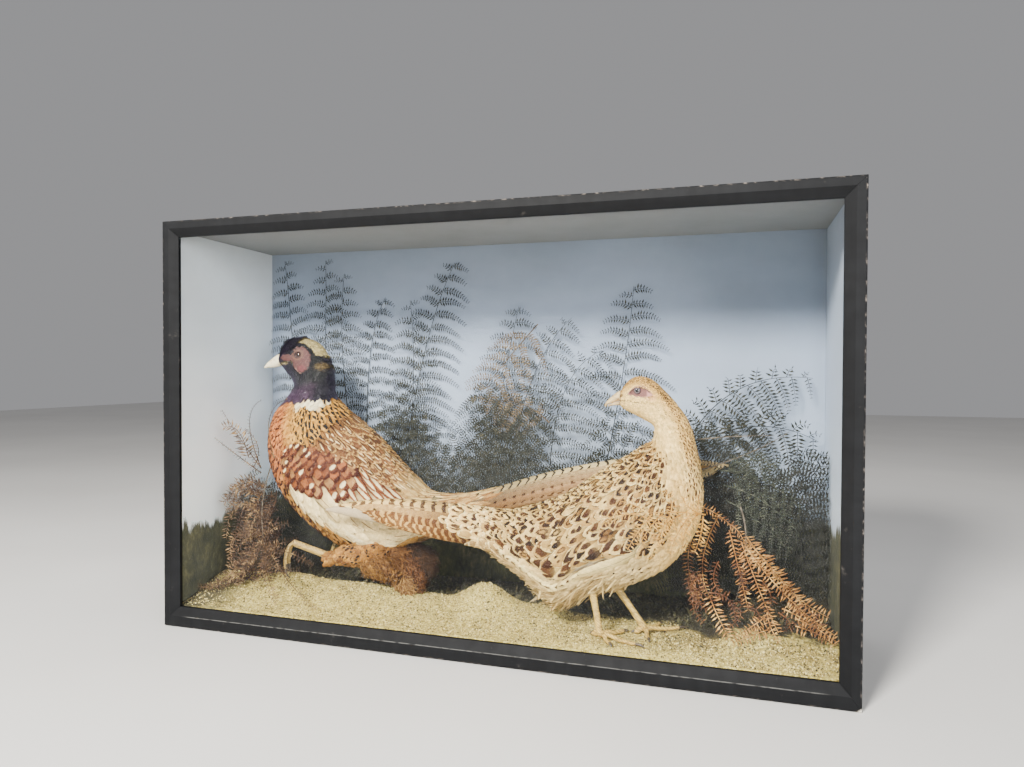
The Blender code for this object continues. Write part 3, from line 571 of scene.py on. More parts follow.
class Coat:
    """Feathers gathered for one bird: each is a curved vane laid on the body's surface."""

    def __init__(self):
        self.parts = []

    def lay(self, body, s, a, length, width, turn, looks, depth, tip_lift=0.0, widths=ROUND_WIDTHS,
            rows=None, camber=0.10, columns=4, curl=0.0, spread=1.05):
        """Lays vanes with their roots at (s, a), heading tailward turned by an angle.

        Depth is how far the root lies under the outer surface, and tip_lift how far the tip lies
        over it. The path is walked in steps, so that it follows the form under it.
        """
        count = len(s)
        if not count:
            return
        v = VANE_ROWS if rows is None else rows
        widths = np.interp(v, VANE_ROWS, widths)
        u = np.linspace(-1, 1, columns)
        length, width = np.broadcast_to(length, count), np.broadcast_to(width, count)
        turn = np.broadcast_to(turn, count).astype(float)
        depth, tip_lift = np.broadcast_to(depth, count), np.broadcast_to(tip_lift, count)
        curl = np.broadcast_to(curl, count)
        points = np.empty((count, len(v), columns, 3))
        s, a = s.astype(float).copy(), a.astype(float).copy()
        root_s, root_a = s.copy(), a.copy()
        for k, along in enumerate(v):
            ps, pa = body.slopes(s, a)
            ms = np.maximum(np.linalg.norm(ps, axis=-1), LEAST_SLOPE)
            ma = np.maximum(np.linalg.norm(pa, axis=-1), LEAST_SLOPE)
            way = turn + curl * along
            half = (width / 2 * widths[k] * RNG.uniform(0.88, 1.10, count))[:, None] * u[None, :]
            half = half * RNG.uniform(0.92, 1.06, (count, columns))
            side_a = np.clip(half * np.cos(way)[:, None] / ma[:, None], -spread, spread)
            side_s = half * np.sin(way)[:, None] / ms[:, None]
            lift = -depth * (1 - along ** 0.75) + tip_lift * along ** 2
            edge = lift[:, None] - camber * width[:, None] * u[None, :] ** 2 * (0.4 + 0.6 * along)
            fray = length[:, None] * RNG.normal(0, 0.022, (count, columns)) * along ** 3
            side_s = side_s - fray * np.cos(way)[:, None] / ms[:, None]
            points[:, k] = body.at(s[:, None] + side_s, a[:, None] + side_a, edge)
            if k + 1 < len(v):
                step = length * (v[k + 1] - along)
                s = s - step * np.cos(way) / ms
                a = a + step * np.sin(way) / ma
        self.parts.append(dict(
            points=points, v=v, u=u, looks=looks, place=np.stack([
                (root_a / (2 * np.pi)) % 1.0, np.clip(root_s / body.end, 0, 1),
            ], -1), chance=RNG.random(count),
        ))

    def build(self, name, material, slot_name):
        """Joins the vanes into pieces that each stay under MOST_TRIANGLES triangles."""
        batches, held, held_faces = [], [], 0
        for part in self.parts:
            per = (len(part["v"]) - 1) * (len(part["u"]) - 1) * 2
            start, count = 0, len(part["points"])
            while start < count:
                room = max(0, (MOST_TRIANGLES - held_faces) // per)
                if not room:
                    batches.append(held)
                    held, held_faces = [], 0
                    continue
                end = min(count, start + room)
                held.append((part, start, end))
                held_faces += (end - start) * per
                start = end
        batches.append(held)
        for index, batch in enumerate(b for b in batches if b):
            self.join(f"{name}_{index + 1}", batch, material, slot_name)

    def join(self, name, batch, material, slot_name):
        verts, faces, vane, places = [], [], [], []
        looks = {key: [] for key in ("base", "mark", "rim", "shape")}
        start = 0
        for part, low, high in batch:
            points = part["points"][low:high]
            count, rows, columns = points.shape[:3]
            each = rows * columns
            local = grid_faces(rows, columns)
            offset = start + np.arange(count)[:, None, None] * each
            faces.append((local[None] + offset).reshape(-1, 4))
            verts.append(points.reshape(-1, 3))
            grid_v, grid_u = np.meshgrid(part["v"], part["u"], indexing="ij")
            flat = np.stack([grid_u.ravel(), grid_v.ravel()], -1)
            chance = part["chance"][low:high]
            triple = np.concatenate([np.broadcast_to(flat, (count, each, 2)),
                                     np.broadcast_to(chance[:, None, None], (count, each, 1))], -1)
            vane.append(triple.reshape(-1, 3))
            spot = part["place"][low:high, None, :] * (1 - PATCH) + (flat * (0.5, 1.0)
                                                                     + (0.5, 0.0)) * PATCH
            places.append(spot.reshape(-1, 2))
            for key, held in looks.items():
                value = part["looks"][key][low:high]
                held.append(np.repeat(value, each, axis=0))
            start += count * each
        obj = make_object(name, np.concatenate(verts), np.concatenate(faces), material)
        attribute(obj, "vane", "FLOAT_VECTOR", np.concatenate(vane))
        for key, held in looks.items():
            attribute(obj, key, "FLOAT_COLOR", np.concatenate(held))
        bake_map(obj, np.clip(np.concatenate(places), 0, 1))
        fixed(obj, slot_name)


def looks_of(count, base, mark, rim=(0, 0, 0), rim_width=0.0, shape=(0.3, 0.3, 0.55), bars=0.0):
    """Per-feather colours and markings, each given once or for every feather.

    shape: half width and half length of the mark and its place along the vane. bars: how many.
    """
    def full(value, size):
        return np.broadcast_to(np.asarray(value, float), (count, size))

    def column(value):
        return np.broadcast_to(np.asarray(value, float), (count,))[:, None]

    return dict(
        base=np.concatenate([full(base, 3), np.ones((count, 1))], 1),
        mark=np.concatenate([full(mark, 3), np.ones((count, 1))], 1),
        rim=np.concatenate([full(rim, 3), column(rim_width)], 1),
        shape=np.concatenate([full(shape, 3), column(bars)], 1),
    )


def feather_material(name, tone, roughness=0.62, **inputs):
    """Vanes with fine barbs, a shaft, a central mark or bars, a coloured rim and painted shade at the
    root.

    shape is the mark's half width, half length and place along the vane, and the number of bars.
    A negative half length makes the mark a ring.
    With bars, its three numbers are: the share of dark, unused, and how far from the shaft they
    start.
    """
    m = Shader(name, roughness, **{"Specular IOR Level": 0.22, **inputs})
    u, v, chance = m.xyz(m.attribute("vane", "Vector"))
    across = abs(u)
    base, mark, rim = (m.attribute(name) for name in ("base", "mark", "rim"))
    rim_width = m.attribute("rim", "Alpha")
    a, b, c = m.xyz(m.attribute("shape", "Vector"))
    fringe = m.noise(520.0, 4.0)
    wander = (fringe - 0.5) * 0.9
    # A leaning ellipse along the shaft, rufous towards its root
    along = v - c
    lean = (chance - 0.5) * 2.2
    slid = abs(u + lean * along)
    hollow = m.step(0.0, -0.01, b)
    b = abs(b)
    x = slid / m.math("MAXIMUM", a, 0.001)
    y = along / m.math("MAXIMUM", b, 0.001)
    far = m.math("SQRT", x ** 2.0 + y ** 2.0)
    spot = m.step(1.16, 0.86, far + wander) * m.step(0.02, 0.08, a)
    warm = m.step(0.1, -0.95, y) * 0.5
    inked = m.mix(warm, mark, m.mix(0.5, mark, base))
    middle = m.step(0.66, 0.28, far + wander) * hollow
    inked = m.mix(middle * 0.85, inked, m.times(base, (0.7, 0.63, 0.52)))
    # Bars that bend towards the tip at the edges
    count = m.attribute("shape", "Alpha")
    barred = m.step(0.5, 0.9, count)
    phase = v * count + across * 0.3 + (chance + wander * 0.22)
    wave = m.math("SINE", phase * math.tau)
    high = 1.0 - a * 2.0
    bars = m.map_range(wave - high, -0.15, 0.2, 0.0, 1.0)
    bars = bars * m.step(-0.1, 0.05, across - c)
    plain = 1.0 - barred
    painted = m.mix(spot * plain, base, inked)
    # The rim follows the outline
    tip = 1.0 - (1.0 - v) * 2.4 - barred * 3.0
    outline = m.math("MAXIMUM", across, tip)
    inner = 1.0 - rim_width
    edge = m.step(0.0, 0.12, outline + wander * 0.35 - inner)
    painted = m.mix(edge * m.step(0.0, 0.04, rim_width), painted, rim)
    painted = m.mix(bars * barred, painted, mark)
    # Barbs leave the shaft towards the tip
    comb = v * 24.0 - across * 9.0
    barbs = m.math("SINE", (comb + wander * 1.2) * math.tau)
    shade = barbs * 0.13 + 0.96
    shade = shade * (chance * 0.34 + 0.82)
    shade = shade * (m.noise(190.0, 5.0, roughness=0.75) * 1.3 + 0.36)
    # Painted shade: darker towards the root, where the feather above covers the vane; the colour
    # deepens where it is darker
    shade = shade * (m.step(0.05, 0.78, v) * 0.7 + 0.3)
    deep = m.output("Gamma", {"Color": painted, "Gamma": 1.65 - shade * 0.6})
    m.colour(m.times(m.times(deep, shade), tone))
    shaft = m.step(0.10, 0.0, across)
    m.bump(barbs * 0.35 + shaft * 0.6, 0.0003, 0.6)
    return m


def skin_material(name, roughness=0.75):
    m = Shader(name, roughness)
    tint = m.attribute("tint")
    fine = m.noise(600.0, 4.0)
    broad = m.noise(70.0, 4.0)
    shade = fine * 0.5 + 0.72
    shade = shade * (broad * 0.3 + 0.85)
    m.colour(m.times(tint, shade))
    m.bump(fine + broad * 0.4, 0.0005, 0.6)
    return m


def all_sized(length, width):
    """The size for rows_on when every feather is as long and as wide as the next."""
    return lambda s, a: (np.full_like(s, length), np.full_like(s, width))


def on_side(rise, side):
    """The angle round a body of a place raised by so much above its middle, on its left or right."""
    return rise if side > 0 else np.pi - rise


def on_wing(table, s, share):
    """How far above the body's middle a place on the wing lies, from its share of the wing's depth."""
    upper = np.interp(s, table[:, 0], table[:, 1])
    lower = np.interp(s, table[:, 0], table[:, 2])
    return np.radians(lower + (upper - lower) * (0.04 + 0.94 * share))


def wing_rows(table, short, step, count):
    """Rows of coverts along a wing, every other row shifted by half a feather."""
    along, shares = [], []
    s, odd = table[0, 0] + 0.15, 0
    while s < table[-1, 0] - short:
        along.append(np.full(count, s))
        shares.append((np.arange(count) + 0.5 * odd) / (count - 0.5))
        s += step
        odd = 1 - odd
    return np.concatenate(along), np.concatenate(shares)


def rows_on(body, low, high, size, density=1.0, s_step=0.36, a_step=0.50):
    """Staggered places over a body between two sections, spaced by the feathers' own size there.

    size gives the length and width of a feather at (s, a). Places are thinned where the surface
    draws together, as on the inside of a bend.
    """
    found_s, found_a = [], []
    s, odd = low, 0
    ring = np.linspace(0, 2 * np.pi, 73)[:-1]
    while s < high:
        here = np.full_like(ring, s)
        ps, pa = body.slopes(here, ring)
        ms, ma = np.linalg.norm(ps, axis=-1), np.linalg.norm(pa, axis=-1)
        length, width = size(here, ring)
        step = s_step / density * np.median(length) / np.percentile(ms, 80)
        need = ma * (2 * np.pi / 72) / (width * a_step / density)
        need = need * np.clip(ms * step / (length * s_step / density), 0.25, 1.3)
        total = np.concatenate([[0], np.cumsum(need)])
        count = max(4, int(round(total[-1])))
        marks = (np.arange(count) + 0.5 * odd + 0.25) * total[-1] / count
        where = np.interp(marks % total[-1], total, np.append(ring, 2 * np.pi))
        found_a.append(where + RNG.normal(0, 0.10, count) * 2 * np.pi / count)
        found_s.append(s + RNG.normal(0, 0.16, count) * step)
        s += step
        odd = 1 - odd
    return np.concatenate(found_s), np.concatenate(found_a)


def zone(s, low, high, soft=0.5):
    """1 between two sections, with soft ends."""
    return smooth(low - soft / 2, low + soft / 2, s) * smooth(high + soft / 2, high - soft / 2, s)


def blend(share, first, second):
    share = np.asarray(share)[..., None]
    return np.asarray(first) * (1 - share) + np.asarray(second) * share


def layered(tone, *layers):
    """A colour under others, each given as its share and its colour."""
    for share, colour in layers:
        tone = blend(share, tone, colour)
    return tone


def add_skin(name, body, depth, relief, tint, material, slot_name, nodes):
    """One continuous skin under a coat, finer at the head, with its colours and its bake map."""
    rows, around, head = 300, 128, body.end - 5.0
    t = np.linspace(0, 1, rows)
    s = np.where(t < 0.55, t / 0.55 * head, head + (t - 0.55) / 0.45 * (body.end - head))
    ss, aa = np.meshgrid(s, np.linspace(0, 2 * np.pi, around, endpoint=False), indexing="ij")
    verts, quads, caps = closed_loft(body.at(ss, aa, relief(ss, aa) - depth(ss, aa)))
    obj = mesh_of(name, verts, quads.tolist() + caps.tolist(), material)
    ends = tint(ss[[0, -1], 0], aa[[0, -1], 0])
    colours = np.concatenate([tint(ss, aa).reshape(-1, 3), ends.reshape(-1, 3)])
    attribute(obj, "tint", "FLOAT_COLOR", np.concatenate([colours, np.ones((len(colours), 1))], 1))
    place = np.stack([aa / (2 * np.pi), ss / body.end], -1).reshape(-1, 2)
    bake_map(obj, np.concatenate([place, [[0.5, 0.0], [0.5, 1.0]]]))
    fixed(obj, slot_name, *nodes)


# The hen's plumage

PALE = (1.0, 0.90, 0.66)
BROWN = (0.016, 0.007, 0.004)
RUFOUS = (0.22, 0.085, 0.026)


def hen_size(s, a):
    """Length and width of the hen's body feathers, in metres."""
    points = (4.0, 5.5, 7.0, 11.0, 13.0, 14.5, 16.5, 18.0, 19.5, 21.0, 22.0)
    lengths = (0.030, 0.030, 0.028, 0.025, 0.020, 0.014, 0.0105, 0.0075, 0.0055, 0.0042, 0.0032)
    length = np.interp(s, points, lengths)
    return length, length * np.interp(s, (4, 12, 17, 22), (0.62, 0.64, 0.58, 0.52))


def hen_depth(s, a):
    """How far the hen's skin lies under the surface of her plumage, in metres."""
    return np.interp(s, (0, 3.5, 5, 8, 13, 16, 18, 20, 22),
                     (0.0018, 0.002, 0.004, 0.0042, 0.003, 0.002, 0.0012, 0.0008, 0.0005))


def hen_base(s, a):
    """The ground colour of the hen's plumage at a place on her."""
    up = np.sin(a)
    points = HEN.at(s, a)
    x, z = points[..., 0], points[..., 2]
    nostril = np.hypot((x - 0.1925) / 0.0036, (z - 0.3490) / 0.0026)
    corner = np.hypot((x - 0.2310) / 0.0080, (z - 0.3490) / 0.0050)
    ear = np.hypot((x - 0.2300) / 0.0110, (z - 0.3405) / 0.0022)
    nape = smooth(0.05, -0.55, up) * smooth(13.4, 14.6, s)
    crown = smooth(-0.35, -0.85, up) * smooth(16.0, 19.0, s)
    return layered(
        (0.92, 0.72, 0.42),
        (smooth(-0.2, 0.7, up) * zone(s, 4.5, 14.0, 1.5), (0.66, 0.47, 0.215)),
        (zone(s, 10.6, 13.0, 1.2) * smooth(0.35, 0.9, up) * 0.6, (0.42, 0.23, 0.080)),
        (smooth(-0.35, -0.9, up) * zone(s, 4.0, 8.6, 1.6), (0.70, 0.52, 0.29)),
        (smooth(12.6, 14.6, s), (0.98, 0.76, 0.42)),
        (nape * 0.85, (0.80, 0.55, 0.245)),
        (zone(s, 9.5, 13.2, 1.2) * smooth(0.3, -0.2, up), (0.95, 0.69, 0.34)),
        (zone(s, 6.0, 10.0, 1.4) * smooth(-0.30, -0.60, up), (0.72, 0.58, 0.37)),
        (crown * 0.65, (0.72, 0.44, 0.16)),
        (smooth(1.2, 0.7, nostril) * 0.8, (0.16, 0.080, 0.040)),
        (smooth(1.3, 0.5, corner) * 0.6, (0.84, 0.46, 0.34)),
        (smooth(1.3, 0.6, ear) * 0.5, (0.42, 0.26, 0.10)),
    )


def hen_body_coat(coat):
    """The body feathers, bare over the eyes and the line of the gape, and thin on the wings."""
    s, a = rows_on(HEN, 4.3, HEN.end - 0.05, hen_size, 1.15)
    slope, _ = HEN.slopes(s, a)
    reach = hen_size(s, a)[0] / np.maximum(np.linalg.norm(slope, axis=-1), LEAST_SLOPE)
    eye_gap = np.min([hen_eye_gap(s - reach * share, a) for share in (0.0, 0.5, 1.0)], axis=0)
    inside, _ = HEN.wing_share(s, a)
    from_gape = np.min([distance_to_gape(s - reach * share, a) for share in (0.0, 0.7)], axis=0)
    keep = (eye_gap > 1.03) & (inside < 0.55) & ~((from_gape < 0.0009) & (s > 18.5))
    s, a = s[keep], a[keep]
    up = np.sin(a)
    n = len(s)
    length, width = hen_size(s, a)
    length = length * RNG.uniform(0.9, 1.12, n)
    base = hen_base(s - reach[keep] * 0.6, a) * RNG.uniform(0.84, 1.10, (n, 1))
    upper_end = smooth(13.6, 12.0, s + 1.2 * (up < 0.3) - 1.2 * (up > 0.35))
    marked = smooth(-0.45, 0.15, up) * zone(s, 4.0, 14.3, 1.0) * upper_end
    hind = smooth(-0.10, -0.60, up) * zone(s, 13.0, 18.0, 1.0)
    crown = smooth(-0.45, -0.80, up) * smooth(17.4, 18.2, s)
    ear = np.exp(-((s - 17.6) / 0.8) ** 2 - ((up + 0.10) / 0.22) ** 2) * (RNG.random(n) < 0.5)
    few = (RNG.random(n) < 0.16) * zone(s, 8.0, 13.0, 1.0) * (up < 0.2)
    fleck = RNG.random(n) < 0.80
    ring = (RNG.random(n) < np.interp(s, (7.0, 9.5), (0.20, 0.55))) & (marked > 0.5) & (s < 14.3)
    a_mark = (0.56 + 0.14 * ring) * marked * RNG.uniform(0.7, 1.25, n)
    a_mark = a_mark + (0.46 * hind + 0.60 * crown) * fleck + 0.22 * few + 0.20 * ear
    b_mark = (0.24 + 0.05 * ring) * marked + 0.17 * hind + 0.22 * crown + 0.13 * few + 0.25 * ear
    b_mark = np.where(ring, -b_mark, b_mark)
    mark = blend(RNG.random(n) * 0.30 + 0.22 * hind * (1 - crown), BROWN, RUFOUS)
    rim_width = 0.14 * marked + 0.14 * hind * (RNG.random(n) < 0.6)
    rim = blend(hind > 0.5, np.broadcast_to(PALE, (n, 3)), (0.30, 0.155, 0.055))
    shape = np.stack([a_mark, b_mark, 0.62 + 0.14 * np.maximum(hind, crown)], -1)
    turn = RNG.normal(0, 0.12, n)
    lift = (0.0003 + 0.0012 * RNG.random(n)) * np.interp(s, (12, 18), (1.0, 0.30))
    coat.lay(HEN, s, a, length, width, turn, looks_of(n, base, mark, rim, rim_width, shape),
             hen_depth(s, a), tip_lift=lift, widths=LEAF_WIDTHS)


def hen_wing_coat(coat):
    """Rows of coverts from the shoulder back, then the long feathers along the lower edge."""
    table = HEN.wing
    for side in (-1, 1):
        # The long feathers' edges show along the bottom of the wing
        # Their dark rims, wider on the lowest ones, are partly the feathers' edges and partly painted
        # shadow under the wing
        m = 14
        fan = np.linspace(0, 1, m)
        start = np.interp(fan, (0, 1), (10.4, 6.8))
        lower = np.interp(start, table[:, 0], table[:, 2]) - 1 + 12 * (1 - fan)
        a = on_side(np.radians(lower), side)
        coat.lay(HEN, start, a, 0.118 - 0.03 * fan, 0.019, side * -0.05,
                 looks_of(m, (0.95, 0.82, 0.54), BROWN, (0.10, 0.050, 0.024),
                          np.where(fan > 0.7, 0.22, 0.15), (0.05, 0.42, 0.5)), 0.0025, tip_lift=0.0016,
                 rows=np.linspace(0, 1, 18), widths=EDGE_WIDTHS)
        s, share = wing_rows(table, 0.1, 0.25, 9)
        s = s + RNG.normal(0, 0.06, len(s))
        share = np.clip(share + RNG.normal(0, 0.02, len(s)), 0, 1)
        keep = (share > 0.20) | (s > 10.2)
        s, share = s[keep], share[keep]
        a = on_side(on_wing(table, s, share), side)
        n = len(s)
        low = smooth(0.55, 0.20, share)
        length = np.interp(s, (4.7, 7, 10, 12.5), (0.036, 0.032, 0.027, 0.016)) * (1 + 0.20 * low)
        base = blend(RNG.random(n), (0.90, 0.72, 0.40), (0.42, 0.26, 0.10))
        base = blend(smooth(0.55, 1.0, share) * 0.4, base, (0.46, 0.28, 0.11))
        mark = blend(RNG.random(n) * 0.35, BROWN, RUFOUS)
        size = np.where(RNG.random(n) < 0.12, 0.35, 1.0) * RNG.uniform(0.7, 1.25, n)
        blotch = low * (RNG.random(n) < 0.6)
        ring = np.where((RNG.random(n) < 0.32) & (blotch < 0.4), -1.2, 1.0)
        shape = np.stack([(0.58 + 0.26 * blotch) * size, (0.225 + 0.13 * blotch) * size * ring,
                          RNG.uniform(0.56, 0.72, n)], -1)
        coat.lay(HEN, s, a, length * RNG.uniform(0.85, 1.15, n), length * 0.58,
                 side * -0.22 + RNG.normal(0, 0.16, n),
                 looks_of(n, base, mark, PALE, RNG.uniform(0.07, 0.17, n), shape), 0.0025,
                 tip_lift=0.0010 + 0.0024 * RNG.random(n), widths=LEAF_WIDTHS)


def hen_fluff(coat):
    """The loose down under the tail, along the flanks and round the tops of the legs."""
    pale = ((0.90, 0.76, 0.50), (0.62, 0.46, 0.25))
    s, a = rows_on(HEN, 4.9, 9.2, all_sized(0.028, 0.0040), s_step=0.22)
    low = np.sin(a) < -0.55 - 0.25 * RNG.random(len(s))
    keep = low & (RNG.random(len(s)) < np.interp(s, (5, 6, 8, 9.2), (1, 1, 0.7, 0.2)))
    s, a = s[keep], a[keep]
    n = len(s)
    side = np.sign(np.cos(a))
    base = blend(RNG.random(n), pale[0], pale[1]) * RNG.uniform(0.85, 1.1, (n, 1))
    coat.lay(HEN, s, a, 0.030 * RNG.uniform(0.7, 1.35, n), 0.0030 * RNG.uniform(0.6, 1.4, n),
             -side * 0.35 + RNG.normal(0, 0.34, n), looks_of(n, base, pale[1], shape=(0.0, 0.2, 0.5)),
             0.002, tip_lift=0.001 + (0.0055 + 0.0060 * zone(s, 6.4, 9.0, 0.8)) * RNG.random(n) ** 1.5,
             widths=PLUME_WIDTHS, camber=0.2, curl=RNG.normal(0, 0.4, n), columns=3)
    for _, thigh, hock, *_ in HEN_LEGS:
        limb = Limb(np.add(hock, (0, 0, 0.004)), np.add(thigh, (0, 0, 0.004)), 0.0046, 0.0165)
        down_coat(coat, limb, pale, 0.013, 0.0042, 0.3, 3.9, 1.1, 0.25, 0.0016)


def hen_tail_coat(coat):
    """The long graduated tail feathers, the middle pair on top, and the coverts over their roots."""
    rows = np.linspace(0, 1, 36)
    for side in (-1, 1):
        for k in range(7):
            a = on_side(math.radians(80 - 27 * k), side)
            length = 0.234 * (1 - 0.055 * k)
            rufous = min(1.0, max(0.0, (k - 1) / 1.5))
            base = blend(rufous, (0.88, 0.66, 0.36), (0.22, 0.10, 0.036))
            mark = blend(rufous, (0.15, 0.080, 0.036), (0.66, 0.44, 0.20))
            coat.lay(HEN, np.array([4.45]), np.array([a]), length, 0.027 - 0.0010 * k, 0.0,
                     looks_of(1, base, mark, PALE, 0.26 if k < 2 else 0.0, (0.34, 0.2, 0.0),
                              bars=length / (0.0155 if k < 2 else 0.0105)),
                     0.0006 + 0.00024 * k, tip_lift=0.0, rows=rows, camber=0.05, columns=5,
                     widths=np.array([0.8, 0.95, 1.0, 1.0, 0.85, 0.55, 0.12]))
    s, a = rows_on(HEN, 2.6, 5.2, all_sized(0.034, 0.016))
    n = len(s)
    up = np.sin(a)
    keep = s > 3.4 + RNG.random(n) * 0.6 + 0.5 * (up < -0.2)
    s, a, up = s[keep], a[keep], up[keep]
    n = len(s)
    base = blend(smooth(0.0, -0.6, up), (0.84, 0.60, 0.30), (0.46, 0.32, 0.17))
    coat.lay(HEN, s, a, 0.034 * RNG.uniform(0.9, 1.2, n), 0.015, RNG.normal(0, 0.08, n),
             looks_of(n, base, (0.075, 0.036, 0.016), PALE, 0.20,
                      np.stack([0.36 * (up > -0.3), np.full(n, 0.2), np.full(n, 0.66)], -1)), 0.002,
             tip_lift=0.0010)


def hen_eye_gap(s, a):
    """How far a place lies from the long slit of the eye opening, 1 at its rim."""
    points = HEN.at(s, a)
    best = np.full(np.shape(s), 9.0)
    for side in (-1, 1):
        away = points - np.array([0.2188, HEN_Y + side * 0.0165, 0.3512])
        x, z = away[..., 0] / 0.0156, away[..., 2]
        z = np.where(z > 0, z / 0.0098, -z / 0.0030)
        here = z + np.abs(x) ** 2.2 + 9 * (np.sign(points[..., 1] - HEN_Y) != side)
        best = np.minimum(best, here)
    return best


def hen_gape(points):
    """How far a place lies over the line that runs back from the corner of the bill, and its share."""
    x, z = points[..., 0], points[..., 2]
    line = np.interp(x, (0.188, 0.197, 0.204, 0.210, 0.219, 0.226),
                     (0.3416, 0.3428, 0.3430, 0.3412, 0.3409, 0.3440))
    return z - line, smooth(0.228, 0.220, x)


def distance_to_gape(s, a):
    """How far a place lies from the line of the gape, and more where there is no line."""
    line, share = hen_gape(HEN.at(s, a))
    return np.abs(line) + 0.01 * (share < 0.5)


def hen_fold(points):
    """How far a place lies over the loose fold of the lower lid, and its share."""
    x, z = points[..., 0], points[..., 2]
    return z - (0.3462 + 30.0 * (x - 0.2150) ** 2), smooth(0.0125, 0.0085, np.abs(x - 0.2150))


def hen_relief(s, a):
    """Sockets, the rims of the lids, the fold under the eye and the line back from the gape."""
    gap = hen_eye_gap(s, a)
    points = HEN.at(s, a)
    socket = -0.0024 * smooth(1.0, 0.45, gap)
    lid = 0.0012 * np.exp(-((gap - 1.12) / 0.14) ** 2)
    line, share = hen_gape(points)
    gape = -0.0007 * np.exp(-(line / 0.0008) ** 2) * share
    under, reach = hen_fold(points)
    fold = 0.0008 * np.exp(-((under - 0.0009) / 0.0008) ** 2) * reach
    return socket + lid + fold + gape


def hen_tint(s, a):
    gap = hen_eye_gap(s, a)
    points = HEN.at(s, a)
    x, z = points[..., 0], points[..., 2]
    rim = smooth(0.80, 0.90, gap) * smooth(1.10, 1.02, gap) * smooth(0.3522, 0.3540, z)
    line, share = hen_gape(points)
    under, reach = hen_fold(points)
    return layered(
        hen_base(s, a) * 0.62,
        (smooth(1.30, 1.04, gap), (0.50, 0.24, 0.15)),
        (smooth(1.04, 0.85, gap), (0.20, 0.085, 0.070)),
        (smooth(1.04, 0.90, gap) * smooth(0.226, 0.230, x), (0.62, 0.30, 0.25)),
        (rim, (0.055, 0.022, 0.018)),
        (np.exp(-(line / 0.0011) ** 2) * share, (0.090, 0.040, 0.020)),
        # Painted shade: a dark line under the fold of the lower lid
        (np.exp(-((under + 0.0006) / 0.0006) ** 2) * reach * 0.6, (0.30, 0.15, 0.08)),
    )


# Eyes, bills, legs and feet


def eye_ball(name, centre, radius, nodes, iris):
    """A glass eye: a ball with an iris and pupil painted round the sideways axis."""
    mesh = bmesh.new()
    bmesh.ops.create_uvsphere(mesh, u_segments=48, v_segments=32, radius=radius * 0.985)
    bmesh.ops.rotate(mesh, verts=mesh.verts, cent=(0, 0, 0),
                     matrix=Matrix.Rotation(math.radians(90), 3, "X"))
    bmesh.ops.translate(mesh, verts=mesh.verts, vec=centre)
    data = bpy.data.meshes.new(name)
    mesh.to_mesh(data)
    mesh.free()
    data.shade_smooth()
    obj = add_object(name, data)
    m = Shader("glass_of_" + name, 0.05)
    x, _, z = m.xyz(m.place())
    dx = x - centre[0]
    dz = z - centre[2]
    far = m.math("SQRT", dx * dx + dz * dz)
    share = far / radius
    m.colour(m.ramp(share + (m.noise(900.0) - 0.5) * 0.08, (0.4, (0.004, 0.004, 0.005)), (0.47, iris),
                    (0.8, iris), (0.92, (0.01, 0.01, 0.01))))
    m.set(m.bsdf, {"Coat Weight": 1.0})
    data.materials.append(m.material)
    fixed(obj, "eye_glass", *nodes)


def resample(path, radii, steps):
    """A smooth path through points, and the radius at each of its places."""
    rows = np.column_stack([np.asarray(path, float), np.asarray(radii, float)])
    t = np.linspace(0, len(rows) - 1, steps)
    made = catmull(rows, t)
    return made[:, :3], np.maximum(made[:, 3], 0.0002)


def tube_mesh(path, radii, sides=20, steps=80, ring_depth=0.0, ring_size=0.0022):
    """A tube along a smooth path, with overlapping scutes as ring steps on its surface."""
    points, r = resample(path, radii, steps)
    ahead = unit(np.gradient(points, axis=0))
    side = np.array([0.0, 1.0, 0.0])
    travelled = np.concatenate([[0], np.cumsum(np.linalg.norm(np.diff(points, axis=0), axis=1))])
    angle = np.linspace(0, 2 * np.pi, sides, endpoint=False)
    rings = []
    for k in range(steps):
        side = side - ahead[k] * side.dot(ahead[k])
        side = side / np.linalg.norm(side)
        other = np.cross(ahead[k], side)
        step = (travelled[k] / ring_size + 0.25 * np.sin(angle * 2)) % 1.0
        r_here = r[k] * (1 - ring_depth * step)
        rings.append(points[k] + side * (np.cos(angle) * r_here)[:, None] + other
                     * (np.sin(angle) * r_here)[:, None])
    return closed_loft(np.array(rings), (points[0], points[-1]))


def join_meshes(name, made, material, slot_name, *nodes):
    """One object from several (vertices, quads, triangles) meshes."""
    verts, faces, start = [], [], 0
    for points, quads, triangles in made:
        verts.append(points)
        faces += (quads + start).tolist() + (triangles + start).tolist()
        start += len(points)
    return fixed(mesh_of(name, np.concatenate(verts), faces, material), slot_name, *nodes)


def horn_material(name, pale, dark, roughness=0.42, scale=160.0, ringed=0.0):
    m = Shader(name, roughness)
    place = m.place()
    streak = m.noise(scale, 5.0, m.stretched(place, 0.5, 1.0, 1.4), 0.6)
    tone = m.ramp(streak, (0.30, dark), (0.55, pale), (0.80, tuple(min(1.0, c * 1.15) for c in pale)))
    if ringed:
        x, _, z = m.xyz(place)
        run = (z + x * 0.8) * (2 * math.pi / 0.0031) + streak * 2.0
        tone = m.mix(m.step(0.35, 0.95, m.math("SINE", run)) * ringed, tone, dark)
    m.colour(tone)
    m.bump(streak, 0.0003, 0.5)
    return m.material


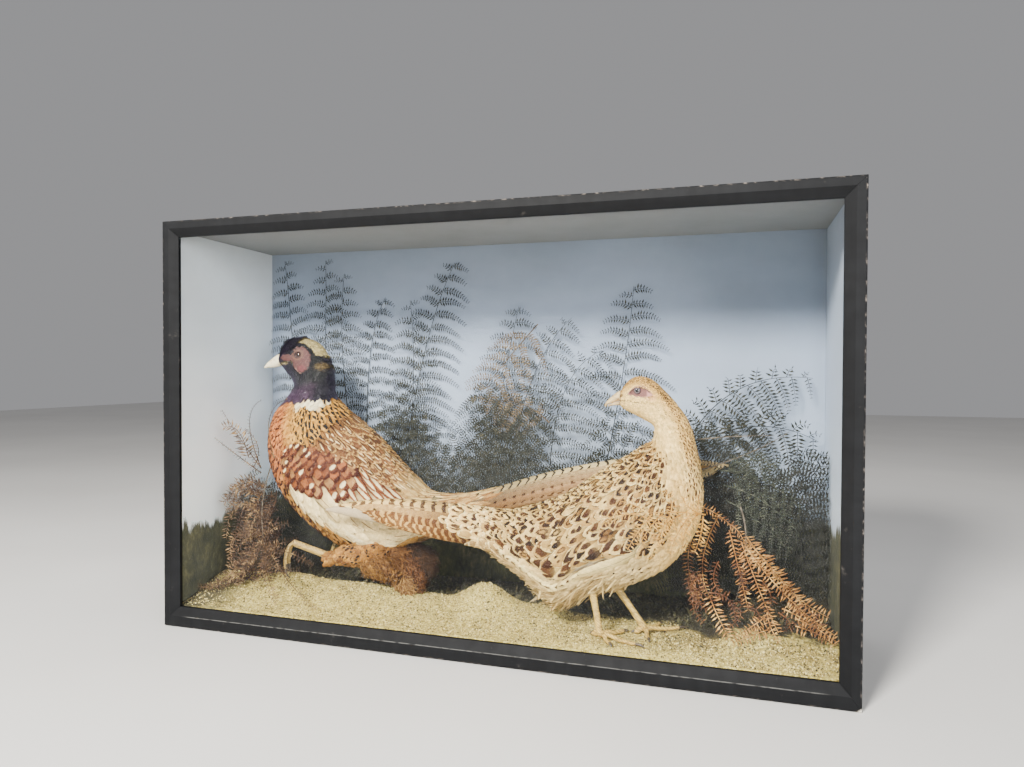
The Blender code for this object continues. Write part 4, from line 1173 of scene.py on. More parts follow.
SAND_FLAT = 0.0335
GAP = 0.0003
TARSUS = 0.0049
TOE = 0.0031
HEN_LEGS = (
    ("right", (0.1660, -0.074, 0.122), (0.1590, -0.0750, 0.0930), (0.1698, -0.0812, 0.0420),
     (0.1725, -0.0830), ((-58, 0.034), (-19, 0.061), (48, 0.046))),
    ("left", (0.1880, -0.038, 0.122), (0.1866, -0.0450, 0.0920), (0.2220, -0.0440, 0.0415),
     (0.2255, -0.0480), ((-76, 0.035), (32, 0.061), (66, 0.046))),
)
COCK_LEGS = (
    ("near", (-0.186, -0.014, 0.104), (-0.2520, -0.0270, 0.0920), (-0.3220, -0.0290, 0.1110),
     (0.032, 0.0095)),
    ("far", (-0.190, 0.056, 0.110), (-0.2350, 0.0620, 0.0920), (-0.2960, 0.0640, 0.0960),
     (0.024, 0.0075)),
)
COCK_TOES = ((160, 0.046), (185, 0.056), (212, 0.044))


def toe(joint, heading, length, drooping):
    """The points of a toe with its pads, and of its claw."""
    turn = math.radians(heading)
    way = np.array([math.cos(turn), math.sin(turn), 0.0])
    down = np.array([0.0, 0.0, -1.0])
    start = np.array(joint, float)
    if drooping:
        shares = ((0, 0), (0.16, 0.16), (0.26, 0.50), (0.25, 0.74), (0.24, 0.82), (0.20, 0.92),
                  (0.12, 1.0))
        points = [start + way * length * a + down * length * b for a, b in shares]
        radii = (1.0, 1.0, 0.88, 0.72)
        claw = (0.55, 0.42, 0.20)
    else:
        sole = SAND_FLAT + GAP
        flat = np.array([start[0], start[1], 0.0])
        level = sole + TOE
        heights = ((0.010 / length, level + 0.003), (0.45, level), (0.80, level - 0.0003),
                   (0.82, level + 0.0002), (0.92, level - 0.0002), (1.0, sole + 0.0011))
        points = [start] + [flat + way * length * a - down * b for a, b in heights]
        radii = (1.0, 1.0, 0.94, 0.76)
        claw = (0.62, 0.48, 0.20)
    return points[:4], [TOE * r for r in radii], points[3:], [TOE * r for r in (claw[0], *claw)]


def foot_meshes(joint, toes, drooping):
    """The scaled toes and the claws of one foot, as two lists of meshes."""
    skins, claws = [], []
    for heading, length in toes:
        path, radii, claw_path, claw_radii = toe(joint, heading, length, drooping)
        skins.append(tube_mesh(path, radii, 16, 60, 0.16, 0.0024))
        claws.append(tube_mesh(claw_path, claw_radii, 12, 24))
    return skins, claws


def build_hen_legs(scales, claw_horn):
    for word, _, hock, ankle, foot_xy, toes in HEN_LEGS:
        foot = (*foot_xy, SAND_FLAT + GAP + TARSUS)
        hock_top = (hock[0] + 0.001, hock[1], hock[2] + 0.012)
        shank = tube_mesh((hock_top, hock, np.add(np.multiply(hock, 0.5), np.multiply(ankle, 0.5)),
                           ankle, foot), (TARSUS * 1.02, TARSUS * 1.08, TARSUS * 0.90, TARSUS,
                                          TARSUS * 0.9), 24, 150, 0.12, 0.0030)
        all_toes = (*toes, (toes[1][0] + 170, 0.019))
        skins, claws = foot_meshes(foot, all_toes, False)
        join_meshes("hen_leg_scales_" + word, [shank] + skins, scales, "horn", "hen_leg_" + word)
        join_meshes("hen_claws_" + word, claws, claw_horn, "horn")


def bill_mesh(rows, mid_y, steps=40, around=28):
    """A bill lofted through its rows."""
    body = Body(rows, mid_y, ((0, 0, 0, 0), (1, 0, 0, 0)))
    s = np.linspace(0, body.end, steps)
    a = np.linspace(0, 2 * np.pi, around, endpoint=False)
    ss, aa = np.meshgrid(s, a, indexing="ij")
    return closed_loft(body.at(ss, aa))


HEN_BILL_UPPER = (
    ((0.1919, 0.3562), (0.1908, 0.3422), 0.0066), ((0.1862, 0.3530), (0.1852, 0.3410), 0.0055),
    ((0.1790, 0.3470), (0.1784, 0.3388), 0.0041), ((0.1726, 0.3404), (0.1734, 0.3356), 0.0025),
    ((0.1703, 0.3362), (0.1722, 0.3334), 0.0010),
)
HEN_BILL_LOWER = (
    ((0.1908, 0.3417), (0.1903, 0.3362), 0.0055), ((0.1850, 0.3404), (0.1846, 0.3361), 0.0043),
    ((0.1790, 0.3383), (0.1787, 0.3352), 0.0029), ((0.1752, 0.3360), (0.1752, 0.3342), 0.0013),
)
COCK_BILL = (
    ((-0.3690, 0.4105), (-0.3725, 0.3885), 0.0086), ((-0.3800, 0.4080), (-0.3820, 0.3866), 0.0076),
    ((-0.3920, 0.4012), (-0.3920, 0.3852), 0.0055), ((-0.4030, 0.3932), (-0.4015, 0.3848), 0.0032),
    ((-0.4092, 0.3868), (-0.4082, 0.3840), 0.0010),
)


def build_hen():
    feathers = feather_material("hen_feathers", (1.05, 0.97, 0.64)).material
    skin_of = skin_material("hen_skin").material
    add_skin("hen_skin", HEN, hen_depth, hen_relief, hen_tint, skin_of, "hen_plumage",
             ("hen_trunk", "hen_neck", "hen_head", "hen_tail", "hen_wing_left", "hen_wing_right"))
    coat = Coat()
    hen_tail_coat(coat)
    hen_wing_coat(coat)
    hen_body_coat(coat)
    hen_fluff(coat)
    coat.build("hen_coat", feathers, "hen_plumage")
    for side, word in ((-1, "right"), (1, "left")):
        eye_ball("hen_glass_eye_" + word, (0.2152, HEN_Y + side * 0.0126, 0.3562), 0.0050,
                 ("hen_eye_" + word,), (0.125, 0.095, 0.105))
    bill = horn_material("hen_bill_horn", (0.74, 0.55, 0.27), (0.36, 0.23, 0.10))
    join_meshes("hen_bill_top", [bill_mesh(HEN_BILL_UPPER, HEN_Y)], bill, "horn", "hen_bill_upper")
    join_meshes("hen_bill_bottom", [bill_mesh(HEN_BILL_LOWER, HEN_Y)], bill, "horn", "hen_bill_lower")
    scales = horn_material("leg_scales", (0.72, 0.50, 0.125), (0.20, 0.12, 0.028), 0.55, 260.0, 0.75)
    claws = horn_material("claws", (0.10, 0.075, 0.05), (0.03, 0.022, 0.018), 0.35)
    build_hen_legs(scales, claws)


# The cock's plumage

GOLD = (0.64, 0.345, 0.062)
COPPER = (0.60, 0.215, 0.068)
BLACK = (0.012, 0.010, 0.011)
PURPLE = (0.050, 0.026, 0.048)
WHITE = (0.96, 0.88, 0.68)
STRAW = (0.80, 0.54, 0.21)
WATTLE = (0.088, 0.029, 0.026)


def cock_size(s, a):
    """Length and width of the cock's body feathers, in metres."""
    points = (4.0, 5.5, 7.0, 9.5, 11.5, 13.0, 14.0, 16.5, 18.0, 20.0, 22.0)
    lengths = (0.036, 0.034, 0.032, 0.028, 0.024, 0.018, 0.012, 0.0095, 0.0070, 0.0050, 0.0036)
    length = np.interp(s, points, lengths)
    return length, length * np.interp(s, (4, 7, 12, 17, 22), (0.45, 0.58, 0.62, 0.58, 0.50))


def cock_depth(s, a):
    """How far the cock's skin lies under the surface of his plumage, in metres."""
    return np.interp(s, (0, 3.5, 5, 8, 13, 16, 18, 20, 22),
                     (0.0014, 0.002, 0.0045, 0.0045, 0.003, 0.002, 0.0012, 0.0008, 0.0005))


def wattle_share(s, a):
    """1 on the bare skin round the cock's eye."""
    points = COCK.at(s, a)
    away = points - np.array([-0.3275, 0.0, 0.3985])
    wide = away[..., 0] * 0.93 + away[..., 2] * 0.36
    tall = away[..., 2] * 0.93 - away[..., 0] * 0.36
    far = np.sqrt((wide / 0.0180) ** 2 + (tall / 0.0225) ** 2)
    lores = np.hypot((points[..., 0] + 0.3540) / 0.0150, (points[..., 2] - 0.4010) / 0.0062)
    far = np.minimum(far, lores)
    sides = smooth(0.0070, 0.0110, np.abs(points[..., 1] - COCK_Y))
    ragged = 0.12 * np.sin(points[..., 0] * 620) * np.sin(points[..., 2] * 740)
    return smooth(1.02, 0.88, far + ragged) * sides * smooth(15.5, 16.0, s)


def cock_base(s, a):
    """The ground colour of the cock's plumage at a place on him."""
    up = np.sin(a)
    points = COCK.at(s, a)
    x, z = points[..., 0], points[..., 2]
    band = zone(s, 5.2, 10.0, 0.8) * smooth(-0.40, -0.55, up) * smooth(-1.0, -0.93, up)
    neck = blend(smooth(0.30, 0.75, up), PURPLE, (0.010, 0.009, 0.014))
    neck = blend(smooth(14.3, 15.2, s), neck, (0.010, 0.012, 0.010))
    # Where the dark neck begins, and the white ring over its lower edge
    begins = 13.4 - 0.45 * smooth(-0.30, 0.15, up) - 0.25 * smooth(0.45, 0.70, up)
    begins = begins - 0.70 * smooth(0.70, 0.93, up)
    low = begins - 0.45 - 0.60 * smooth(0.40, 0.70, up) + 0.50 * smooth(0.75, 0.93, up)
    low = low + 0.07 * np.sin(a * 23)
    top = begins + 0.05 + 0.06 * np.sin(a * 17 + 1)
    ring = smooth(low, low + 0.12, s) * smooth(top + 0.1, top - 0.1, s)
    ring = ring * smooth(0.10, 0.20, up) * smooth(0.96, 0.91, up)
    line = np.interp(x, (-0.3383, -0.3255, -0.3146, -0.3038, -0.2858),
                     (0.4255, 0.4240, 0.4180, 0.4070, 0.4010))
    crown = smooth(-0.0012, 0.0012, z - line) * smooth(-0.2840, -0.2880, x) * smooth(15.8, 16.2, s)
    ear = np.hypot((x + 0.2930) / 0.0095, (z - 0.3885) / 0.0052)
    streak = np.exp(-((z - 0.3925 - 0.10 * (x + 0.366)) / 0.0013) ** 2) * zone(x, -0.372, -0.340, 0.004)
    return layered(
        (0.56, 0.29, 0.065),
        (smooth(-0.1, 0.6, up), (0.42, 0.18, 0.055)),
        (smooth(-0.55, -0.9, up) * zone(s, 4.0, 9.0, 2.0), (0.22, 0.115, 0.050)),
        (zone(s, 8.3, 13.6, 1.0) * smooth(0.05, -0.35, up), COPPER),
        (zone(s, 9.7, 13.6, 0.8) * smooth(-0.05, 0.30, up), GOLD),
        (zone(s, 6.4, 9.9, 1.0) * smooth(0.1, 0.6, up), (0.235, 0.098, 0.036)),
        (band, (0.56, 0.30, 0.070)),
        (zone(s, 3.5, 6.6, 1.0) * smooth(-0.1, 0.5, up), (0.82, 0.57, 0.21)),
        (smooth(begins, begins + 0.15, s), neck),
        (ring, WHITE),
        (crown, (0.46, 0.39, 0.21)),
        (smooth(1.6, 0.4, ear) * smooth(15.0, 15.4, s) * 0.9, (0.13, 0.090, 0.042)),
        (smooth(19.6, 20.0, s), BLACK),
        (streak * 0.8, (0.55, 0.45, 0.28)),
    )


def cock_body_coat(coat, glossy):
    """The body feathers, in two coats: the neck's and head's dark ones have a gloss."""
    s, a = rows_on(COCK, 4.4, COCK.end - 0.12, cock_size, 1.12)
    inside, _ = COCK.wing_share(s, a)
    keep = (wattle_share(s, a) < 0.25) & (inside < 0.55)
    s, a = s[keep], a[keep]
    slope, _ = COCK.slopes(s, a)
    seen = s - 0.62 * cock_size(s, a)[0] / np.maximum(np.linalg.norm(slope, axis=-1), LEAST_SLOPE)
    shiny = (np.max(cock_base(seen, a), axis=-1) < 0.06) & (s > 13.0)
    for chosen, target in ((~shiny, coat), (shiny, glossy)):
        lay_cock_feathers(target, s[chosen], seen[chosen], a[chosen])


def lay_cock_feathers(coat, root_s, s, a):
    """Feathers rooted at root_s, marked for the place s where most of each one shows."""
    up = np.sin(a)
    n = len(s)
    length, width = cock_size(root_s, a)
    base = cock_base(s, a) * RNG.uniform(0.82, 1.14, (n, 1))
    upper = smooth(0.1, 0.6, up)
    base = base * (1 - 0.62 * zone(s, 6.2, 9.9, 1.0) * upper * RNG.random(n))[:, None]
    plain = np.max(base, axis=-1) < 0.08
    mantle = zone(s, 9.7, 13.2, 0.8) * smooth(-0.05, 0.3, up) * (1 - plain)
    mantle = mantle * (np.min(base, axis=-1) < 0.3)
    breast = zone(s, 8.3, 13.2, 1.0) * smooth(0.05, -0.3, up) * (1 - plain)
    flank = zone(s, 5.2, 10.0, 0.8) * smooth(-0.2, -0.5, up) * smooth(-1.0, -0.93, up)
    back = zone(s, 6.2, 9.7, 1.0) * upper
    rump = zone(s, 3.5, 6.4, 1.0) * smooth(-0.1, 0.4, up)
    brow = smooth(19.4, 20.2, s) * smooth(0.0, 0.4, up)
    nape = smooth(0.75, 0.95, up) * zone(s, 13.8, 17.2, 0.6)
    pick = RNG.random(n)
    a_mark = 0.36 * mantle + 0.16 * breast * (pick < 0.6)
    a_mark = a_mark + 0.46 * flank * (pick < 0.40) + 0.22 * back * (pick < 0.6)
    b_mark = 0.34 * mantle + 0.10 * breast + 0.16 * flank + 0.26 * back
    centre = 0.66 + 0.16 * breast + 0.12 * flank - 0.06 * back
    mark = blend(back > 0.5, np.broadcast_to(BLACK, (n, 3)), (0.92, 0.74, 0.46))
    rim = layered(np.broadcast_to((0.10, 0.028, 0.012), (n, 3)), (back > 0.5, (0.66, 0.42, 0.16)),
                  (mantle > 0.5, (0.10, 0.042, 0.012)), (breast > 0.3, (0.075, 0.022, 0.016)))
    rim_width = 0.34 * breast * (pick < 0.8) + 0.13 * mantle * (pick < 0.6)
    rim_width = rim_width + 0.24 * back + 0.06 * flank
    streaks = blend(RNG.random(n) ** 1.6, (0.95, 0.74, 0.38), (0.34, 0.16, 0.055))
    base = blend(rump * 0.85, base, streaks)
    looks = looks_of(n, base, mark, rim, rim_width, np.stack([a_mark, b_mark, centre], -1))
    length = length * (1 + 2.0 * brow) * RNG.uniform(0.9, 1.15, n) * (1 + 0.7 * rump + 0.4 * back)
    width = width * (1 - 0.35 * brow) * (1 - 0.68 * rump) * (1 - 0.35 * back)
    turn = RNG.normal(0, 0.10 + 0.35 * brow, n)
    lift = 0.0003 + 0.0010 * RNG.random(n)
    lift = lift + 0.0070 * brow * RNG.random(n) + 0.0060 * nape * RNG.random(n) ** 4
    coat.lay(COCK, root_s, a, length, width, turn, looks, cock_depth(root_s, a), tip_lift=lift)


def cock_wing_coat(coat):
    """Chestnut coverts with pale drops, a pale panel below them, and long chestnut scapulars."""
    table = COCK.wing
    for side in (-1, 1):
        s, share = wing_rows(table, 0.05, 0.27, 8)
        s = s + RNG.normal(0, 0.04, len(s))
        rise = on_wing(table, s, share)
        a = on_side(rise, side)
        n = len(s)
        lift = np.degrees(rise)
        tip_s, tip_lift = s - 0.75, lift - 5
        top = np.interp(tip_s, (5.5, 7.0, 8.0, 9.0, 9.5), (18, 14, 0, -22, -25))
        low = np.interp(tip_s, (5.5, 7.0, 8.0, 9.0, 9.7), (-31, -30, -38, -38, -26))
        panel = ((tip_lift < top) & (tip_lift > low) & (tip_s < 9.3)).astype(float)
        below = (tip_lift <= low).astype(float)
        stripes = ((tip_s > 5.6) & (tip_s < 7.35) & (tip_lift >= top)
                   & (tip_lift < top + 30)).astype(float)
        covert = (1 - panel) * (1 - stripes) * (1 - below) * (tip_s > 6.9)
        length = np.interp(s, (4.9, 7, 10, 11.2), (0.045, 0.038, 0.030, 0.020))
        length = length * (1 + 0.5 * panel + 0.3 * stripes + 0.14 * covert)
        base = blend(covert, (0.30, 0.115, 0.038), (0.33, 0.115, 0.036))
        base = base * RNG.uniform(0.60, 1.15, (n, 1))
        base = blend(covert * (RNG.random(n) < 0.35), base, (0.36, 0.185, 0.072))
        base = blend(below, base, (0.56, 0.30, 0.07))
        base = blend(panel, base, (0.90, 0.73, 0.44)) * RNG.uniform(0.80, 1.12, (n, 1))
        base = blend(stripes, base, (0.27, 0.085, 0.028))
        mark = blend(panel, np.broadcast_to((0.92, 0.80, 0.56), (n, 3)), (0.36, 0.22, 0.10))
        mark = blend(below, mark, BLACK)
        pick = RNG.random(n)
        close = (tip_lift < top + 40) & (tip_s > 6.8)
        spotted = np.where(covert > 0.5, pick < np.where(close, 0.36, 0.05), pick < 0.5)
        a_mark = np.where(covert > 0.5, 0.52, 0.22) * spotted
        a_mark = np.where(stripes > 0.5, 0.42, a_mark)
        a_mark = np.where(panel > 0.5, 0.08 * (pick < 0.35),
                          np.where(below > 0.5, 0.5 * (pick < 0.5), a_mark))
        long_mark = np.where(stripes > 0.5, 0.60, np.where(below > 0.5, 0.16, 0.34))
        shape = np.stack([a_mark, np.where(covert > 0.5, 0.078, long_mark),
                          np.where(covert > 0.5, 0.72, 0.64)], -1)
        rim = blend(covert, STRAW, (0.085, 0.021, 0.009))
        rim = blend(stripes, rim, (0.14, 0.040, 0.016))
        rim = blend(panel, rim, PALE)
        m = 9
        fan = np.linspace(0, 1, m)
        start = np.interp(fan, (0, 1), (9.4, 6.8))
        rise = np.radians(np.interp(start, (6.8, 8.0, 9.4), (-24, -31, -24)))
        coat.lay(COCK, start, on_side(rise, side), 0.125 - 0.03 * fan, 0.024, side * -0.02,
                 looks_of(m, (0.95, 0.83, 0.58), (0.30, 0.19, 0.10), PALE, 0.16, (0.06, 0.42, 0.5)),
                 0.002, tip_lift=0.0010, rows=np.linspace(0, 1, 18), widths=EDGE_WIDTHS)
        slim = np.where(panel > 0.5, 0.40, np.where(stripes > 0.5, 0.24, 0.66))
        edged = 0.46 * covert + 0.10 * (1 - covert) * (pick < 0.5)
        coat.lay(COCK, s, a, length * RNG.uniform(0.86, 1.12, n), length * slim,
                 side * -0.22 + RNG.normal(0, 0.07, n), looks_of(n, base, mark, rim, edged, shape),
                 0.0025, tip_lift=0.0014 + 0.0010 * RNG.random(n))


def cock_tail_coat(coat):
    """The long barred tail feathers and the hair-like coverts over their roots."""
    rows = np.linspace(0, 1, 60)
    for side in (-1, 1):
        a = on_side(math.radians(62), side)
        coat.lay(COCK, np.array([4.9]), np.array([a]), 0.455, 0.0150, 0.0,
                 looks_of(1, (0.96, 0.80, 0.50), (0.020, 0.012, 0.008), shape=(0.17, 0.2, 0.0),
                               bars=0.455 / 0.0135), 0.0001, rows=np.linspace(0, 1, 90), camber=0.03,
                 columns=4, widths=np.array([0.9, 1.0, 1.0, 1.0, 0.9, 0.7, 0.2]))
        for k in range(6):
            a = on_side(math.radians(42 - 27 * k), side)
            length = 0.455 * (1 - 0.115 * k)
            base = blend(min(1.0, k / 2), (0.62, 0.46, 0.27), (0.52, 0.32, 0.165))
            top = k == 0
            coat.lay(COCK, np.array([4.9]), np.array([a]), length, 0.034 - 0.0012 * k, 0.0,
                     looks_of(1, base, (0.20, 0.11, 0.055) if top else (0.15, 0.070, 0.032),
                              shape=(0.0 if top else 0.26, 0.2, 0.25),
                              bars=0.0 if top else length / 0.0150), 0.0006 + 0.00024 * k, rows=rows,
                     camber=0.05, columns=7, widths=np.array([0.9, 1.0, 0.95, 0.8, 0.55, 0.34, 0.08]))
    s, a = rows_on(COCK, 3.2, 5.4, all_sized(0.045, 0.008))
    keep = s > 4.0 + RNG.random(len(s)) * 0.5
    s, a = s[keep], a[keep]
    n = len(s)
    base = blend(RNG.random(n), (0.80, 0.54, 0.24), (0.34, 0.16, 0.05))
    coat.lay(COCK, s, a, 0.045 * RNG.uniform(0.8, 1.3, n), 0.007, RNG.normal(0, 0.09, n),
             looks_of(n, base, WHITE, shape=(0.0, 0.2, 0.5)), 0.002, tip_lift=0.0015,
             widths=PLUME_WIDTHS)


def cock_relief(s, a):
    """The eye's socket and rim, and the raised, grainy skin of the face."""
    gap = cock_eye_gap(s, a)
    socket = -0.0020 * smooth(1.0, 0.55, gap)
    lid = 0.0010 * np.exp(-((gap - 1.12) / 0.16) ** 2)
    share = wattle_share(s, a)
    grain = 0.0007 * np.sin(s * 26) * np.sin(a * 31) * share
    return socket + lid + share * 0.0016 + grain


def cock_eye_gap(s, a):
    """How far a place lies from the nearer eye, 1 at the rim of its opening."""
    points = COCK.at(s, a)
    best = np.full(np.shape(s), 9.0)
    for side in (-1, 1):
        away = points - np.array([-0.3330, COCK_Y + side * 0.018, 0.4055])
        here = np.sqrt((away[..., 0] / 0.0056) ** 2 + (away[..., 2] / 0.0046) ** 2)
        here = here + 4 * (np.sign(points[..., 1] - COCK_Y) != side)
        best = np.minimum(best, here)
    return best


def cock_tint(s, a):
    """The skin's colour: a red face with a lobe under the eye, and plumage tones elsewhere."""
    points = COCK.at(s, a)
    x, z = points[..., 0], points[..., 2]
    face = wattle_share(s, a)
    lobe = np.hypot((x + 0.3235) / 0.0085, (z - 0.3835) / 0.0055)
    under = smooth(0.30, 0.0, np.abs(lobe - 1.35)) * smooth(0.3860, 0.3830, z)
    blotch = np.sin(x * 700 + 1.0) * np.sin(z * 560) + 0.6 * np.sin(x * 1500 - z * 900)
    line = np.interp(x, (-0.336, -0.3231, -0.3104), (0.4225, 0.4195, 0.4105))
    brow = np.exp(-((z - line) / 0.0016) ** 2) * zone(x, -0.338, -0.308, 0.004)
    gap = cock_eye_gap(s, a)
    return layered(
        cock_base(s, a) * 0.55,
        (face, WATTLE),
        (face * smooth(1.15, 0.85, lobe), (0.118, 0.023, 0.027)),
        (face * under * 0.8, (0.42, 0.26, 0.20)),
        (face * smooth(0.2, 1.0, blotch) * 0.5, (0.060, 0.030, 0.024)),
        (face * smooth(-0.4, -1.1, blotch) * 0.4, (0.22, 0.105, 0.085)),
        (brow, (0.045, 0.035, 0.022)),
        (smooth(2.3, 1.5, gap) * 0.7, (0.15, 0.075, 0.045)),
        (smooth(1.4, 1.1, gap), (0.035, 0.014, 0.012)),
    )


class Part:
    """A surface of its own that a coat can lie on, with the same calls as a body."""

    end = 4.0
    nearby = 0.05

    def slopes(self, s, a):
        e = self.nearby
        along = (self.at(s + e, a) - self.at(s - e, a)) / (2 * e)
        around = (self.at(s, a + e) - self.at(s, a - e)) / (2 * e)
        return along, around


class Limb(Part):
    """A feathered thigh: s runs from the hock up."""

    def __init__(self, low, high, low_radius, high_radius, bulge=0.0):
        self.low, self.high = np.array(low, float), np.array(high, float)
        self.radii = (low_radius, high_radius)
        self.bulge = bulge
        way = unit(self.high - self.low)
        side = np.cross(way, (0.0, 0.0, 1.0)) if abs(way[2]) < 0.9 else np.array([0.0, 1.0, 0.0])
        self.side = unit(side - way * side.dot(way))
        self.other = np.cross(way, self.side)

    def at(self, s, a, lift=0.0):
        t = np.clip(np.asarray(s, float) / self.end, -0.25, 1)[..., None]
        middle = self.low + (self.high - self.low) * t
        radius = self.radii[0] + (self.radii[1] - self.radii[0]) * np.clip(t, 0, 1)
        radius = radius + self.bulge * np.sin(np.pi * np.clip(t, 0, 1))
        radius = radius * (1 - 0.85 * np.clip((t - 0.72) / 0.28, 0, 1) ** 2)
        out = self.side * np.cos(a)[..., None] + self.other * np.sin(a)[..., None]
        return middle + out * (np.maximum(radius, 0.001) + np.asarray(lift)[..., None])


class Tuft(Part):
    """A drop of down round a bent line: s runs from its loose tip up to its root."""

    nearby = 0.03

    def __init__(self, tip, middle, root, radius, flat=0.8):
        self.rows = np.array([tip, middle, root], float)
        self.radius, self.flat = radius, flat

    def at(self, s, a, lift=0.0):
        t = np.clip(np.asarray(s, float) / self.end, -0.30, 1.0)[..., None]
        tip, middle, root = self.rows
        control = middle * 2 - (tip + root) / 2
        line = tip * (1 - t) ** 2 + control * 2 * t * (1 - t) + root * t * t
        way = unit((control - tip) * (1 - t) + (root - control) * t)
        side = unit(np.cross(way, (0.0, 1.0, 0.0)))
        girth = self.radius * (0.10 + 0.90 * np.sin(np.pi * np.clip(t * 0.80 + 0.02, 0, 1)) ** 1.15)
        lump = 1 + 0.07 * np.sin(5 * a + 9 * t[..., 0]) + 0.05 * np.sin(3 * a - 14 * t[..., 0])
        out = side * np.cos(a)[..., None] + np.array([0.0, self.flat, 0.0]) * np.sin(a)[..., None]
        return line + out * (girth * lump[..., None] + np.asarray(lift)[..., None])


def down_coat(coat, body, tones, length, width, low, high, density=1.0, wild=0.25, lift=0.0015,
              s_step=0.30):
    """Soft narrow plumes, a little tangled."""
    s, a = rows_on(body, low, high, all_sized(length, width), density, s_step)
    n = len(s)
    base = blend(RNG.random(n), tones[0], tones[1]) * RNG.uniform(0.85, 1.15, (n, 1))
    coat.lay(body, s, a, length * RNG.uniform(0.7, 1.2, n), width, RNG.normal(0, wild, n),
             looks_of(n, base, tones[1], shape=(0.0, 0.2, 0.5)), 0.0015,
             tip_lift=lift * RNG.uniform(0.2, 1.6, n), widths=PLUME_WIDTHS, camber=0.25,
             curl=RNG.normal(0, wild, n), columns=3)


def thigh_coat(coat, limb, spotted):
    """Feathers of the upper leg: golden ochre with black spots on the side that shows."""
    s, a = rows_on(limb, 0.15, 3.9, all_sized(0.020, 0.010), 1.2)
    n = len(s)
    base = blend(RNG.random(n), (0.46, 0.235, 0.050), (0.24, 0.105, 0.030))
    base = base * RNG.uniform(0.75, 1.15, (n, 1))
    dark = (RNG.random(n) < 0.26) * smooth(0.8, 1.6, s) * float(spotted)
    shape = np.stack([0.42 * dark, np.full(n, 0.15), np.full(n, 0.78)], -1)
    coat.lay(limb, s, a, 0.020 * RNG.uniform(0.8, 1.2, n), 0.010, RNG.normal(0, 0.2, n),
             looks_of(n, base, BLACK, (0.62, 0.38, 0.12), 0.10, shape), 0.0015,
             tip_lift=0.0012 + 0.002 * RNG.random(n), camber=0.2)


COCK_TUFTS = (
    ((-0.126, -0.014, 0.047), (-0.134, -0.013, 0.081), (-0.180, -0.008, 0.113), 0.0195,
     ((0.24, 0.110, 0.032), (0.050, 0.020, 0.008))),
    # This tuft's near-black down is painted shade beside the thigh, where the shadow falls
    ((-0.104, -0.006, 0.072), (-0.110, -0.006, 0.092), (-0.146, -0.004, 0.115), 0.0155,
     ((0.070, 0.032, 0.013), (0.016, 0.008, 0.005))),
    ((-0.146, -0.022, 0.062), (-0.168, -0.022, 0.083), (-0.206, -0.014, 0.102), 0.0130,
     ((0.38, 0.200, 0.050), (0.13, 0.055, 0.018))),
    ((-0.166, -0.032, 0.074), (-0.186, -0.031, 0.084), (-0.212, -0.024, 0.097), 0.0115,
     ((0.42, 0.225, 0.055), (0.16, 0.070, 0.022))),
    ((-0.150, -0.034, 0.078), (-0.172, -0.032, 0.092), (-0.196, -0.024, 0.108), 0.0120,
     ((0.30, 0.150, 0.040), (0.090, 0.038, 0.014))),
    ((-0.124, -0.026, 0.041), (-0.134, -0.024, 0.060), (-0.158, -0.018, 0.086), 0.0120,
     ((0.50, 0.300, 0.110), (0.16, 0.070, 0.024))),
    ((-0.112, -0.018, 0.060), (-0.122, -0.018, 0.080), (-0.156, -0.012, 0.106), 0.0115,
     ((0.20, 0.085, 0.028), (0.040, 0.016, 0.007))),
)


